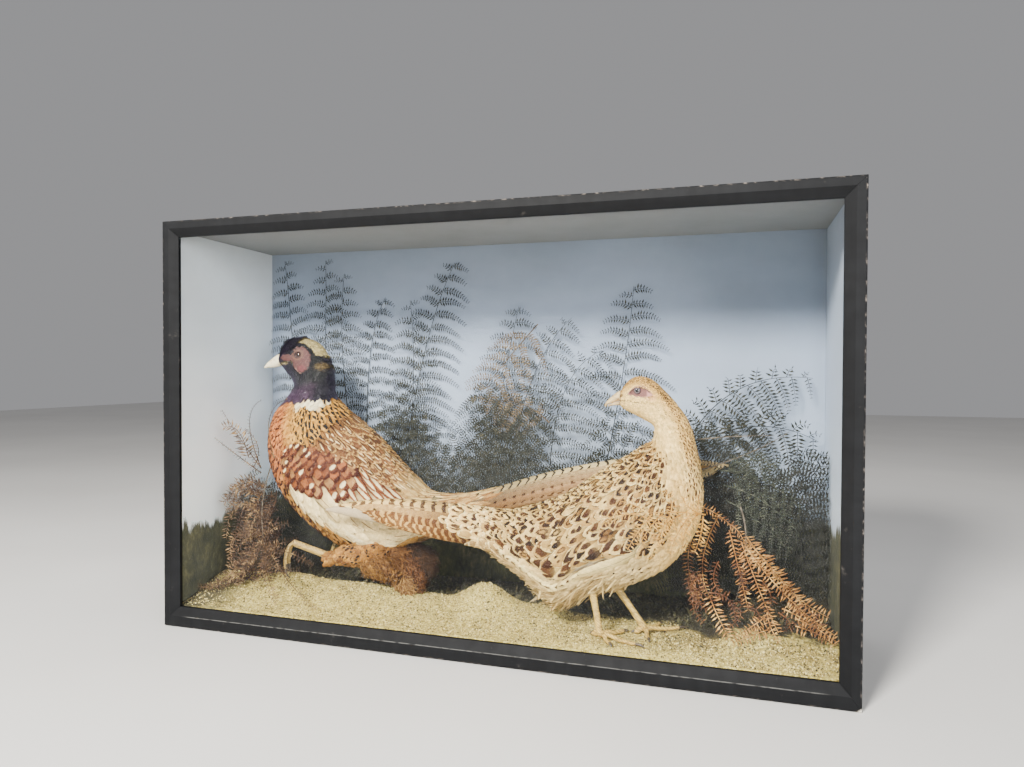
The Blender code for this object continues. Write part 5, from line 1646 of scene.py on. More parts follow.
def build_cock():
    skin_of = skin_material("cock_skin", 0.7).material
    add_skin("cock_skin", COCK, cock_depth, cock_relief, cock_tint, skin_of, "cock_plumage",
             ("cock_pheasant",))
    coat, glossy = Coat(), Coat()
    cock_tail_coat(coat)
    cock_wing_coat(coat)
    cock_body_coat(coat, glossy)
    for *path, radius, tones in COCK_TUFTS:
        shape = Tuft(*path, radius)
        down_coat(coat, shape, tones, 0.022, 0.0024, 0.10, 3.9, 0.9, 0.42, 0.0040, 0.26)
        down_coat(coat, shape, tones, 0.031, 0.0011, 0.05, 3.8, 0.9, 0.40, 0.0075, 0.26)
    for word, thigh, hock, _, radii in COCK_LEGS:
        deep = np.add(thigh, np.multiply(np.subtract(thigh, hock), 0.45)) + (0.0, 0.004, 0.006)
        thigh_coat(coat, Limb(hock, deep, radii[1], radii[0] * 1.05, 0.003), word == "near")
    matt = feather_material("cock_feathers", (1.0, 0.97, 0.80)).material
    coat.build("cock_coat", matt, "cock_plumage")
    gloss = feather_material("cock_gloss", (1.0, 1.0, 1.0), 0.34)
    gloss.set(gloss.bsdf, {"Sheen Weight": 0.12, "Sheen Tint": (0.45, 0.25, 0.75), "Coat Weight": 0.10})
    glossy.build("cock_gloss", gloss.material, "cock_plumage")
    flesh = skin_material("cock_down_skin", 0.8).material
    solids = []
    for _, thigh, hock, _, radii in COCK_LEGS:
        deep = np.add(thigh, np.multiply(np.subtract(thigh, hock), 0.5)) + (0.0, 0.010, 0.010)
        thickness = (radii[1] - 0.0015, radii[0] * 0.70, 0.004)
        solids.append(tube_mesh((hock, thigh, deep), thickness, 24, 30))
    for *path, radius, _ in COCK_TUFTS:
        thickness = (radius * 0.05, radius * 0.66, radius * 0.15)
        solids.append(tube_mesh(path, thickness, 20, 30))
    core = join_meshes("cock_thighs", solids, flesh, "cock_plumage")
    attribute(core, "tint", "FLOAT_COLOR", np.tile((0.10, 0.048, 0.020, 1.0),
                                                   (len(core.data.vertices), 1)))
    for side, word in ((-1, "left"), (1, "right")):
        eye_ball("cock_glass_eye_" + word, (-0.3330, COCK_Y + side * 0.0150, 0.4055), 0.0050, (),
                 (0.060, 0.032, 0.016))
    bill = horn_material("cock_bill_horn", (0.90, 0.80, 0.54), (0.50, 0.38, 0.20))
    join_meshes("cock_bill", [bill_mesh(COCK_BILL, COCK_Y)], bill, "horn")
    scales = horn_material("cock_leg_scales", (0.60, 0.42, 0.12), (0.18, 0.11, 0.030), 0.5, 220.0, 0.7)
    claws = horn_material("cock_claws", (0.10, 0.075, 0.05), (0.03, 0.022, 0.018), 0.35)
    for word, _, hock, joint, _ in COCK_LEGS:
        shank = tube_mesh((hock, joint), (TARSUS * 1.15, TARSUS * 1.1), 24, 120, 0.12, 0.0032)
        skins, claw_list = foot_meshes(joint, COCK_TOES, True)
        join_meshes("cock_leg_scales_" + word, [shank] + skins, scales, "horn")
        join_meshes("cock_claws_" + word, claw_list, claws, "horn")


# The groundwork


def hump(x, y, centre, radii, height):
    """A rise that is highest at its centre and ends at its radii."""
    share = np.hypot((x - centre[0]) / radii[0], (y - centre[1]) / radii[1])
    return height * (1 - smooth(0.0, 1.0, share))


def ground_height(x, y):
    """The same slopes and banks as the solid groundwork."""
    ridge = -0.015
    crest = 0.046 + 0.007 * smooth(-0.08, -0.16, x) + 0.004 * smooth(0.22, 0.30, x)
    rise = smooth(GLASS_BACK, ridge, y)
    fall = smooth(ridge, ridge + 0.045, y)
    height = 0.029 + (crest - 0.029) * rise - (crest - 0.036) * fall
    height = height + hump(x, y, (-0.010, ridge), (0.060, 0.055), 0.026)
    height = height + hump(x, y, (-0.430, 0.085), (0.110, 0.090), 0.075)
    height = height + hump(x, y, (-0.330, -0.005), (0.070, 0.045), 0.006)
    height = height + hump(x, y, (0.420, 0.085), (0.120, 0.090), 0.050)
    height = height + hump(x, y, (0.370, -0.040), (0.090, 0.050), 0.006)
    level = smooth(0.095, 0.122, x) * (1 - smooth(0.305, 0.335, x))
    level = level * smooth(-0.119, -0.104, y) * (1 - smooth(0.014, 0.040, y))
    return height + (SAND_FLAT - height) * level


def ripple(points, scale, seed, octaves=4):
    """Smooth random waves, in about -1 to 1."""
    rng = np.random.default_rng(seed)
    total, weight = np.zeros(points.shape[:-1]), 0.0
    for octave in range(octaves):
        size = scale * 1.9 ** octave
        for _ in range(4):
            way = rng.normal(0, 1, points.shape[-1])
            way = way / np.linalg.norm(way)
            total += np.sin(points @ way * size + rng.uniform(0, 6.28)) / (1.6 ** octave)
        weight += 2.2 / (1.6 ** octave)
    return total / weight


def ground_material():
    """Sand in ochre and olive, speckled with dark and pale grains, mossy in the corners."""
    m = Shader("sand", 0.95)
    place = m.place()
    x, y, _ = m.xyz(place)
    fine = m.noise(520.0, 4.0, place, 0.8)
    coarse = m.noise(235.0, 3.0, place, 0.75)
    grain = fine * 0.45 + coarse * 0.55
    specks = m.noise(430.0, 1.0, place, 0.5)
    lumps = m.noise(60.0, 5.0, place, 0.65)
    broad = m.noise(11.0, 4.0, place, 0.6)
    sand = m.ramp(grain, (0.38, (0.14, 0.100, 0.020)), (0.47, (0.46, 0.36, 0.082)),
                  (0.53, (0.66, 0.54, 0.145)), (0.64, (0.95, 0.82, 0.30)))
    sand = m.mix(m.step(0.44, 0.66, lumps) * 0.42, sand, (0.34, 0.29, 0.085))
    sand = m.mix(m.step(0.66, 0.72, specks), sand, (0.045, 0.030, 0.015))
    sand = m.mix(m.step(0.34, 0.30, specks), sand, (0.86, 0.76, 0.42))
    moss = m.ramp(grain, (0.35, (0.014, 0.012, 0.006)), (0.50, (0.070, 0.060, 0.022)),
                  (0.66, (0.17, 0.14, 0.055)))
    patchy = broad * 0.65 + lumps * 0.42
    spread = broad * 0.85 + lumps * 0.18
    right = m.step(0.22, 0.32, x) * m.step(0.46, 0.56, spread)
    right = right * m.step(-0.098, -0.072, y)
    left = m.step(-0.36, -0.43, x) * m.step(0.44, 0.6, patchy)
    # Behind the ridge the moss is darkened nearly to black: partly dark moss, partly painted shade
    bank = m.step(0.25, 0.33, x) * 0.056
    edge = (lumps - 0.5) * (bank * 0.9 + 0.03)
    behind = m.step(-0.006, 0.016, y + bank + edge)
    dark = m.mix(0.65, moss, (0.010, 0.008, 0.005))
    olive = m.times(sand, (0.40, 0.34, 0.30))
    colour = m.mix(left, m.mix(right * 0.8, sand, olive), moss)
    m.colour(m.mix(behind, colour, dark))
    m.bump(grain + lumps * 0.5, 0.003, 1.0)
    return m.material


def build_groundwork():
    sand = ground_material()
    x = np.linspace(GROUND_LOW.x + 0.0004, GROUND_HIGH.x - 0.0004, 620)
    y = np.linspace(GROUND_LOW.y + 0.0004, GROUND_HIGH.y - 0.0004, 160)
    yy, xx = np.meshgrid(y, x, indexing="ij")
    flat = np.stack([xx, yy], -1)
    height = ground_height(xx, yy)
    rough = ripple(flat, 110.0, 3) * 0.0010 + ripple(flat, 620.0, 5) * 0.00055 + ripple(flat, 1900.0,
                                                                                        6) * 0.0003
    edge = smooth(0.0, 0.004, yy - GROUND_LOW.y)
    under = np.exp(-((xx - 0.20) ** 2 + (yy + 0.06) ** 2) / 0.003)
    height = height + rough * edge * (1 - 0.7 * under) - 0.0006
    verts = np.stack([xx, yy, height], -1).reshape(-1, 3)
    quads = grid_faces(len(y), len(x))
    rim = np.concatenate([np.arange(len(x)), (np.arange(1, len(y)) * len(x)) + len(x) - 1,
                          (len(y) - 1) * len(x) + np.arange(len(x) - 2, -1, -1),
                          np.arange(len(y) - 2, 0, -1) * len(x)])
    base = verts[rim].copy()
    base[:, 2] = FLOOR_TOP + 0.0004
    start = len(verts)
    k = np.arange(len(rim))
    j = (k + 1) % len(rim)
    walls = np.stack([rim[k], start + k, start + j, rim[j]], -1)
    verts = np.concatenate([verts, base])
    body = make_object("sand_bed", verts, np.concatenate([quads, walls]), sand)
    fixed(body, "sand", "groundwork")
    scatter_grains()
    scatter_litter()


OCTA = np.array([(1, 0, 0), (-1, 0, 0), (0, 1, 0), (0, -1, 0), (0, 0, 1), (0, 0, -1)], float)
OCTA_FACES = np.array([(0, 2, 4), (2, 1, 4), (1, 3, 4), (3, 0, 4),
                       (2, 0, 5), (1, 2, 5), (3, 1, 5), (0, 3, 5)])


def scatter_grains():
    """Loose grains and crumbs over the sand, pale, ochre and near black."""
    n = 15000
    x = RNG.uniform(GROUND_LOW.x + 0.004, GROUND_HIGH.x - 0.004, n)
    y = RNG.uniform(GROUND_LOW.y + 0.003, 0.003 - 0.060 * smooth(0.250, 0.330, x), n)
    size = 0.00055 + 0.0010 * RNG.random(n) ** 3
    base = np.stack([x, y, ground_height(x, y) - 0.0002], -1)
    spin = RNG.uniform(0, 6.28, n)
    shape = OCTA[None] * RNG.uniform(0.6, 1.3, (n, 6, 1)) * size[:, None, None]
    c, q = np.cos(spin)[:, None], np.sin(spin)[:, None]
    turned = np.stack([shape[..., 0] * c - shape[..., 1] * q, shape[..., 0] * q + shape[..., 1] * c,
                       shape[..., 2]], -1)
    verts = (turned + base[:, None]).reshape(-1, 3)
    faces = (OCTA_FACES[None] + (np.arange(n) * 6)[:, None, None]).reshape(-1, 3)
    m = Shader("grains", 0.9)
    tone = m.attribute("tone", "Fac") + m.noise(900.0) * 0.06
    m.colour(m.ramp(tone, (0.22, (0.040, 0.028, 0.014)), (0.36, (0.22, 0.16, 0.050)),
                    (0.62, (0.58, 0.46, 0.14)), (0.90, (0.86, 0.74, 0.32))))
    obj = make_object("loose_grains", verts, faces, m.material, False)
    attribute(obj, "tone", "FLOAT", np.repeat(RNG.random(n), 6))
    fixed(obj, "sand")


def scatter_litter():
    """Dark mossy crumbs and dry bits behind the ridge and in the corners."""
    n = 5200
    x = RNG.uniform(GROUND_LOW.x + 0.006, GROUND_HIGH.x - 0.006, n)
    y = RNG.uniform(-0.004, GROUND_HIGH.y - 0.004, n)
    corner = RNG.random(n) < 0.06
    x = np.where(corner, RNG.uniform(0.24, 0.455, n), x)
    y = np.where(corner, RNG.uniform(-0.080, 0.0, n), y)
    z = ground_height(x, y)
    heading = RNG.uniform(0, 6.28, n)
    lean = RNG.uniform(0.1, 1.2, n)
    length = RNG.uniform(0.004, 0.013, n) * np.where(corner, 0.6, 1.0)
    way = np.stack([np.cos(heading) * np.cos(lean), np.sin(heading) * np.cos(lean), np.sin(lean)], -1)
    side = unit(np.cross(way, (0.0, 0.0, 1.0))) * (length * 0.16)[:, None]
    root = np.stack([x, y, z - 0.0005], -1)
    middle = root + way * (length * 0.5)[:, None]
    tip = root + way * length[:, None] - np.array([0, 0, 1.0]) * (length * 0.25)[:, None]
    verts = np.stack([root - side * 0.4, root + side * 0.4, middle + side, middle - side, tip], 1)
    faces = np.array([(0, 1, 2), (0, 2, 3), (3, 2, 4)])
    quads = (faces[None] + (np.arange(n) * 5)[:, None, None]).reshape(-1, 3)
    m = Shader("moss_and_litter", 0.95)
    m.colour(m.ramp(m.noise(160.0, 3.0), (0.35, (0.022, 0.022, 0.010)), (0.55, (0.085, 0.080, 0.034)),
                    (0.75, (0.19, 0.13, 0.065))))
    obj = make_object("moss_and_litter", verts.reshape(-1, 3), quads, m.material, False)
    fixed(obj, "sand")


# Ferns and bracken: a frond's root, middle, tip and width

# These stand each at one depth: y, then x and z of the three points
BACK_FERNS = (
    (0.1120, (-0.402, 0.250), (-0.418, 0.450), (-0.432, 0.575), 0.070),
    (0.1095, (-0.352, 0.250), (-0.348, 0.450), (-0.348, 0.572), 0.070),
    (0.1070, (-0.296, 0.260), (-0.314, 0.420), (-0.310, 0.548), 0.065),
    (0.1160, (-0.270, 0.220), (-0.266, 0.400), (-0.236, 0.506), 0.065),
    (0.1135, (-0.205, 0.200), (-0.160, 0.420), (-0.108, 0.560), 0.090),
    (0.1025, (-0.190, 0.190), (-0.178, 0.360), (-0.184, 0.499), 0.075),
    (0.1080, (-0.060, 0.150), (-0.024, 0.350), (0.004, 0.485), 0.085),
    (0.1010, (-0.020, 0.150), (0.022, 0.350), (0.092, 0.464), 0.080),
    (0.0940, (0.060, 0.150), (0.076, 0.330), (0.142, 0.413), 0.085),
    (0.1110, (0.130, 0.150), (0.170, 0.370), (0.187, 0.512), 0.100),
    (0.0910, (0.262, 0.260), (0.337, 0.352), (0.443, 0.372), 0.066),
    (0.0820, (0.262, 0.262), (0.360, 0.302), (0.450, 0.283), 0.080),
    (0.0720, (0.280, 0.190), (0.385, 0.230), (0.446, 0.172), 0.075),
    (0.0610, (0.280, 0.150), (0.362, 0.165), (0.420, 0.097), 0.070),
)
BRACKEN = (
    ((0.292, 0.010, 0.178), (0.277, 0.008, 0.122), (0.292, 0.005, 0.070), 0.014),
    ((0.318, 0.008, 0.187), (0.297, -0.002, 0.125), (0.307, -0.010, 0.078), 0.014),
    ((0.331, 0.000, 0.168), (0.344, -0.016, 0.118), (0.356, -0.030, 0.070), 0.015),
    ((0.346, -0.008, 0.156), (0.372, -0.036, 0.092), (0.391, -0.060, 0.056), 0.016),
    ((0.352, 0.012, 0.160), (0.407, 0.006, 0.094), (0.455, -0.006, 0.064), 0.020),
    ((0.381, -0.050, 0.056), (0.360, -0.066, 0.052), (0.336, -0.086, 0.046), 0.014),
    ((0.412, -0.040, 0.060), (0.438, -0.052, 0.056), (0.454, -0.068, 0.050), 0.015),
    ((-0.365, -0.062, 0.160), (-0.385, -0.068, 0.122), (-0.410, -0.074, 0.078), 0.016),
    ((-0.352, -0.066, 0.122), (-0.366, -0.078, 0.092), (-0.376, -0.092, 0.056), 0.016),
    ((-0.345, -0.072, 0.100), (-0.325, -0.088, 0.066), (-0.300, -0.104, 0.042), 0.015),
    ((-0.375, -0.058, 0.208), (-0.398, -0.061, 0.200), (-0.425, -0.064, 0.174), 0.018),
    ((-0.385, -0.055, 0.245), (-0.402, -0.057, 0.285), (-0.428, -0.060, 0.292), 0.020),
)


RIGHT_BRACKEN = (
    ((0.352, -0.004, 0.158), (0.388, -0.010, 0.120), (0.424, -0.018, 0.080), 0.018),
    ((0.307, -0.046, 0.092), (0.316, -0.056, 0.072), (0.332, -0.066, 0.046), 0.024),
    ((0.375, -0.048, 0.070), (0.356, -0.060, 0.058), (0.334, -0.074, 0.046), 0.017),
    ((0.378, -0.044, 0.076), (0.382, -0.056, 0.060), (0.392, -0.068, 0.047), 0.015),
    ((0.412, -0.048, 0.072), (0.436, -0.056, 0.064), (0.458, -0.064, 0.052), 0.018),
    ((0.396, -0.038, 0.080), (0.416, -0.046, 0.074), (0.440, -0.054, 0.062), 0.016),
    ((0.352, -0.014, 0.150), (0.404, -0.030, 0.092), (0.458, -0.046, 0.054), 0.022),
    ((0.286, -0.050, 0.206), (0.308, -0.040, 0.200), (0.334, -0.030, 0.180), 0.014),
    ((0.330, -0.030, 0.182), (0.342, -0.022, 0.172), (0.352, -0.016, 0.152), 0.014),
)
# Russet fronds curled into a clump between the long ones
CURLED_BRACKEN = (
    ((0.290, -0.052, 0.122), (0.280, -0.050, 0.108), (0.292, -0.048, 0.088), 0.016),
    ((0.298, -0.050, 0.118), (0.284, -0.054, 0.098), (0.304, -0.052, 0.074), 0.018),
    ((0.282, -0.046, 0.116), (0.300, -0.048, 0.104), (0.290, -0.052, 0.080), 0.016),
    ((0.300, -0.040, 0.100), (0.286, -0.046, 0.080), (0.300, -0.056, 0.058), 0.016),
    ((0.306, -0.040, 0.092), (0.330, -0.044, 0.088), (0.340, -0.050, 0.062), 0.017),
    ((0.330, -0.036, 0.078), (0.346, -0.040, 0.070), (0.330, -0.050, 0.052), 0.015),
    ((0.352, -0.030, 0.076), (0.368, -0.036, 0.070), (0.362, -0.044, 0.052), 0.015),
    ((0.318, -0.020, 0.130), (0.312, -0.024, 0.106), (0.324, -0.030, 0.086), 0.016),
    ((0.340, -0.014, 0.128), (0.350, -0.018, 0.100), (0.344, -0.026, 0.078), 0.016),
    ((0.372, -0.010, 0.106), (0.384, -0.016, 0.086), (0.374, -0.024, 0.066), 0.016),
    ((0.404, -0.014, 0.082), (0.420, -0.020, 0.070), (0.408, -0.028, 0.054), 0.016),
    ((0.392, -0.030, 0.072), (0.406, -0.034, 0.058), (0.386, -0.042, 0.048), 0.014),
    ((0.430, -0.020, 0.072), (0.444, -0.026, 0.060), (0.436, -0.034, 0.048), 0.015),
)
LEFT_BRACKEN = (
    ((-0.362, -0.055, 0.229), (-0.401, -0.055, 0.275), (-0.434, -0.055, 0.318), 0.010),
    ((-0.362, -0.055, 0.229), (-0.383, -0.055, 0.299), (-0.361, -0.055, 0.335), 0.009),
    ((-0.362, -0.055, 0.222), (-0.411, -0.055, 0.251), (-0.448, -0.055, 0.274), 0.010),
    ((-0.349, -0.040, 0.244), (-0.354, -0.045, 0.306), (-0.325, -0.040, 0.337), 0.007),
    ((-0.380, -0.050, 0.230), (-0.368, -0.055, 0.262), (-0.392, -0.055, 0.290), 0.012),
    ((-0.353, -0.060, 0.200), (-0.389, -0.062, 0.212), (-0.421, -0.060, 0.181), 0.020),
    ((-0.372, -0.056, 0.190), (-0.404, -0.060, 0.190), (-0.405, -0.062, 0.150), 0.020),
    ((-0.354, -0.060, 0.153), (-0.399, -0.064, 0.172), (-0.421, -0.062, 0.118), 0.020),
    ((-0.359, -0.060, 0.130), (-0.403, -0.062, 0.125), (-0.414, -0.060, 0.087), 0.019),
    ((-0.353, -0.070, 0.110), (-0.383, -0.072, 0.075), (-0.426, -0.076, 0.042), 0.018),
    ((-0.374, -0.070, 0.093), (-0.414, -0.074, 0.062), (-0.439, -0.078, 0.044), 0.018),
    ((-0.389, -0.075, 0.070), (-0.430, -0.080, 0.050), (-0.456, -0.084, 0.046), 0.016),
    ((-0.360, -0.060, 0.114), (-0.336, -0.062, 0.139), (-0.310, -0.060, 0.148), 0.016),
    ((-0.360, -0.060, 0.107), (-0.328, -0.064, 0.116), (-0.293, -0.062, 0.126), 0.016),
    ((-0.353, -0.070, 0.106), (-0.304, -0.074, 0.108), (-0.262, -0.070, 0.090), 0.018),
    ((-0.353, -0.070, 0.100), (-0.313, -0.078, 0.082), (-0.278, -0.078, 0.085), 0.017),
    ((-0.329, -0.080, 0.108), (-0.287, -0.092, 0.068), (-0.240, -0.098, 0.036), 0.016),
    ((-0.362, -0.050, 0.196), (-0.378, -0.052, 0.168), (-0.400, -0.054, 0.132), 0.021),
    ((-0.350, -0.050, 0.176), (-0.362, -0.052, 0.142), (-0.390, -0.056, 0.110), 0.021),
    ((-0.372, -0.052, 0.160), (-0.360, -0.056, 0.124), (-0.376, -0.062, 0.084), 0.021),
    ((-0.390, -0.052, 0.146), (-0.382, -0.058, 0.110), (-0.402, -0.066, 0.070), 0.020),
    ((-0.360, -0.056, 0.120), (-0.350, -0.064, 0.088), (-0.362, -0.074, 0.054), 0.019),
    ((-0.376, -0.058, 0.104), (-0.396, -0.066, 0.084), (-0.386, -0.076, 0.052), 0.019),
    ((-0.344, -0.052, 0.152), (-0.352, -0.056, 0.128), (-0.338, -0.060, 0.102), 0.017),
)
# A straw-coloured frond that lies over the hen's breast, just behind the glass
BREAST_BRACKEN = (
    ((0.303, -0.100, 0.206), (0.262, -0.113, 0.209), (0.222, -0.1172, 0.205), 0.004),
    ((0.285, -0.106, 0.205), (0.270, -0.112, 0.182), (0.262, -0.1140, 0.158), 0.014),
    ((0.262, -0.113, 0.206), (0.249, -0.1165, 0.182), (0.238, -0.1172, 0.150), 0.014),
    ((0.240, -0.1165, 0.206), (0.226, -0.1172, 0.188), (0.210, -0.1172, 0.160), 0.013),
    ((0.262, -0.113, 0.207), (0.262, -0.110, 0.222), (0.254, -0.109, 0.236), 0.012),
    ((0.285, -0.106, 0.207), (0.294, -0.102, 0.217), (0.293, -0.100, 0.230), 0.011),
    ((0.226, -0.1172, 0.205), (0.200, -0.1172, 0.202), (0.176, -0.1172, 0.188), 0.012),
    ((0.236, -0.1172, 0.206), (0.218, -0.1172, 0.216), (0.200, -0.1172, 0.220), 0.010),
    ((0.300, -0.100, 0.204), (0.297, -0.104, 0.180), (0.290, -0.106, 0.160), 0.013),
    ((0.274, -0.110, 0.206), (0.256, -0.1150, 0.190), (0.250, -0.1165, 0.166), 0.013),
    ((0.252, -0.1150, 0.206), (0.238, -0.1168, 0.190), (0.224, -0.1172, 0.166), 0.013),
    ((0.294, -0.102, 0.206), (0.282, -0.108, 0.190), (0.276, -0.1100, 0.164), 0.013),
    ((0.296, -0.101, 0.207), (0.282, -0.105, 0.216), (0.276, -0.106, 0.228), 0.011),
)
STEMS = (
    ((0.270, 0.020, 0.284), (0.330, 0.020, 0.292), (0.388, 0.020, 0.295)),
    ((0.262, 0.020, 0.236), (0.344, 0.020, 0.265), (0.407, 0.020, 0.301)),
    ((-0.349, -0.050, 0.230), (-0.360, -0.056, 0.170), (-0.352, -0.060, 0.110)),
    ((0.345, 0.000, 0.200), (0.352, -0.010, 0.150), (0.340, -0.020, 0.080)),
)


# Two withered fronds in the middle, as the ferns at the back, each with its width
WITHERED_FRONDS = (
    (0.092, (0.040, 0.455), (-0.018, 0.390), (-0.066, 0.330), 0.085),
    (0.088, (0.060, 0.300), (0.010, 0.330), (-0.050, 0.330), 0.060),
)

# Mossy green fronds that arch over the thicket, as the ferns at the back
MOSSY_FRONDS = (
    (0.0160, (0.318, 0.245), (0.372, 0.236), (0.424, 0.196)),
    (0.0140, (0.322, 0.226), (0.372, 0.208), (0.420, 0.166)),
    (0.0120, (0.326, 0.206), (0.368, 0.180), (0.410, 0.140)),
    (0.0120, (0.330, 0.252), (0.360, 0.262), (0.392, 0.254)),
)


class Frond:
    """A dried frond's mesh: a stem, pinnae on both sides of it and pinnules like a comb's teeth."""

    def __init__(self):
        self.verts, self.faces, self.count = [], [], 0

    def leaf(self, roots, ways, sides, lengths, widths, lift):
        """Small pointed leaves, each two triangles folded at the middle."""
        out = roots + ways * lengths[:, None]
        middle = roots + ways * (lengths * 0.45)[:, None] + lift
        half = sides * (widths / 2)[:, None]
        verts = np.stack([roots, middle + half, out, middle - half], 1)
        n = len(roots)
        faces = np.array([(0, 1, 2, 3)]) + (np.arange(n) * 4)[:, None]
        self.verts.append(verts.reshape(-1, 3))
        self.faces.append(faces + self.count)
        self.count += n * 4

    def strip(self, path, side, widths):
        """A narrow ribbon along a path."""
        n = len(path)
        verts = np.stack([path - side * widths[:, None], path + side * widths[:, None]], 1)
        self.verts.append(verts.reshape(-1, 3))
        self.faces.append(grid_faces(n, 2) + self.count)
        self.count += n * 2

    def stem(self, root, middle, tip, facing, thickness, steps=60):
        root, middle, tip = (np.array(p, float) for p in (root, middle, tip))
        control = middle * 2 - (root + tip) / 2
        t = np.linspace(0, 1, steps)[:, None]
        path = root * (1 - t) ** 2 + control * 2 * t * (1 - t) + tip * t * t
        ahead = unit(np.gradient(path, axis=0))
        side = unit(np.cross(ahead, np.array(facing, float)))
        normal = np.cross(side, ahead)
        for across in (side, normal, unit(side + normal)):
            self.strip(path, across, thickness * (1 - 0.7 * t[:, 0]))
        travelled = np.concatenate([[0], np.cumsum(np.linalg.norm(np.diff(path, axis=0), axis=1))])
        return path, ahead, side, travelled

    def comb(self, line, facing, tooth, pitch, slender, end_taper=0.75, ragged=0.08, curl=0.0):
        """Teeth along both edges of a line: each a narrow leaf leaning towards the line's end."""
        ahead = unit(np.gradient(line, axis=0))
        travelled = np.concatenate([[0], np.cumsum(np.linalg.norm(np.diff(line, axis=0), axis=1))])
        total = travelled[-1]
        n = max(3, int(total / pitch))
        at = (np.arange(n) + 0.6) / n * total
        roots = np.stack([np.interp(at, travelled, line[:, i]) for i in range(3)], -1)
        go = unit(np.stack([np.interp(at, travelled, ahead[:, i]) for i in range(3)], -1))
        square = unit(np.cross(go, facing))
        up = np.cross(square, go)
        share = at / total
        length = tooth * (1 - end_taper * share ** 1.6) * np.minimum(1.0, 0.55 + share * 4)
        for edge in (-1, 1):
            way = unit(go * 0.38 + square * edge + RNG.normal(0, ragged, (n, 3)) + up * curl)
            size = length * RNG.uniform(0.85 - ragged, 1.12, n)
            flat = unit(np.cross(way, up))
            self.leaf(roots, way, flat, size, np.minimum(size * slender, pitch * 0.95), up * 0.0004)

    def grow(self, root, middle, tip, width, facing, spacing=0.0205, tooth=0.0090, pitch=0.0041,
             slant=1.15, arch=0.45, start=0.08, thickness=0.0010):
        """A frond twice divided: arching pinnae on both sides of a stem, each toothed like a comb."""
        path, ahead, side, travelled = self.stem(root, middle, tip, facing, thickness)
        total = travelled[-1]
        count = max(6, int(total * (1 - start) / spacing))
        for k in range(count):
            share = start + (1 - start) * (k + 0.5) / count
            for hand in (-1, 1):
                at = min(total, share * total + hand * spacing * 0.18 + RNG.normal(0, 0.0008))
                here = np.array([np.interp(at, travelled, path[:, i]) for i in range(3)])
                go = unit(np.array([np.interp(at, travelled, ahead[:, i]) for i in range(3)]))
                out = unit(np.array([np.interp(at, travelled, side[:, i]) for i in range(3)]))
                up = np.cross(out, go)
                reach = width * 0.66 * math.sin(math.pi * min(1.0, share * 0.72 + 0.22)) ** 0.8
                length = max(reach, 0.006) * RNG.uniform(0.86, 1.12)
                lean = slant + RNG.normal(0, 0.08)
                way = unit(go * math.cos(lean) + out * hand * math.sin(lean) + up * RNG.normal(0, 0.06))
                steps = np.linspace(0, 1, 9)
                fall = np.array([0.0, 0.0, -1.0]) * length * arch
                line = here + way * (steps * length)[:, None] + fall * (steps ** 2.2)[:, None]
                square = unit(np.cross(way, up))
                self.strip(line, square, 0.00040 * (1.3 - steps))
                self.comb(line, up, min(tooth, length * 0.32), pitch, 0.32, 0.60)

    def garland(self, root, middle, tip, width, facing, curl=0.3):
        """A single row of teeth on both sides of a drooping stem."""
        path, ahead, side, _ = self.stem(root, middle, tip, facing, 0.0009)
        normal = np.cross(side, ahead)
        self.comb(path, normal.mean(0), width * 0.66, 0.0048, 0.19, 0.40, 0.17, curl)

    def build(self, name, material, slot_name, *nodes):
        verts = np.concatenate(self.verts)
        verts[:, 0] = np.clip(verts[:, 0], 0.003 - INNER_X, INNER_X - 0.003)
        verts[:, 1] = np.clip(verts[:, 1], GLASS_BACK + 0.0015, BACK_Y - 0.0015)
        fixed(make_object(name, verts, np.concatenate(self.faces), material, False), slot_name, *nodes)


LEAVES = {
    "dried_fern": ((0.005, 0.007, 0.005), (0.020, 0.023, 0.014), (0.095, 0.086, 0.048), 0.0),
    "dried_bracken": ((0.11, 0.038, 0.009), (0.38, 0.175, 0.036), (0.78, 0.52, 0.17), 0.8),
    "russet_bracken": ((0.030, 0.010, 0.004), (0.14, 0.052, 0.015), (0.36, 0.17, 0.052), 0.5),
    "curled_bracken": ((0.018, 0.009, 0.004), (0.090, 0.044, 0.015), (0.44, 0.29, 0.12), 0.7),
    # Painted shade: a darker copy of the curled bracken, for the tangle
    "shaded_bracken": ((0.012, 0.006, 0.003), (0.050, 0.022, 0.009), (0.20, 0.105, 0.040), 0.6),
    "straw_bracken": ((0.30, 0.125, 0.014), (0.58, 0.31, 0.045), (0.86, 0.60, 0.18), 0.4),
    "twigs": ((0.045, 0.036, 0.026), (0.15, 0.122, 0.085), (0.38, 0.33, 0.24), 0.0),
    "tan_fern": ((0.050, 0.034, 0.018), (0.15, 0.105, 0.052), (0.36, 0.27, 0.15), 0.0),
    # Painted shade: a darker copy of the dried fern, for the thickets
    "shaded_fern": ((0.004, 0.005, 0.004), (0.012, 0.014, 0.009), (0.050, 0.044, 0.024), 0.0),
    "mossy_fern": ((0.008, 0.012, 0.008), (0.034, 0.042, 0.026), (0.16, 0.165, 0.105), 0.0),
}
# Pieces of loose bracken: name, fronds, leaf, curl and how often each frond is repeated
BRACKEN_PIECES = (
    ("right_bracken", RIGHT_BRACKEN, "dried_bracken", 0.3, 1),
    ("curled_bracken", CURLED_BRACKEN, "russet_bracken", 0.5, 1),
    ("left_bracken", LEFT_BRACKEN, "curled_bracken", 0.6, 1),
    # The tangle repeats the left fronds farther back in a darker finish: painted shade deep in the
    # tangle
    ("left_tangle", LEFT_BRACKEN[5:12] + LEFT_BRACKEN[17:], "shaded_bracken", 0.9, 3),
    ("breast_bracken", BREAST_BRACKEN, "straw_bracken", 0.05, 1),
)
TO_GLASS = (0.0, -1.0, 0.0)
# How far each repeat of a frond lies from the one before
FARTHER_BACK = (-0.004, 0.014, -0.006)


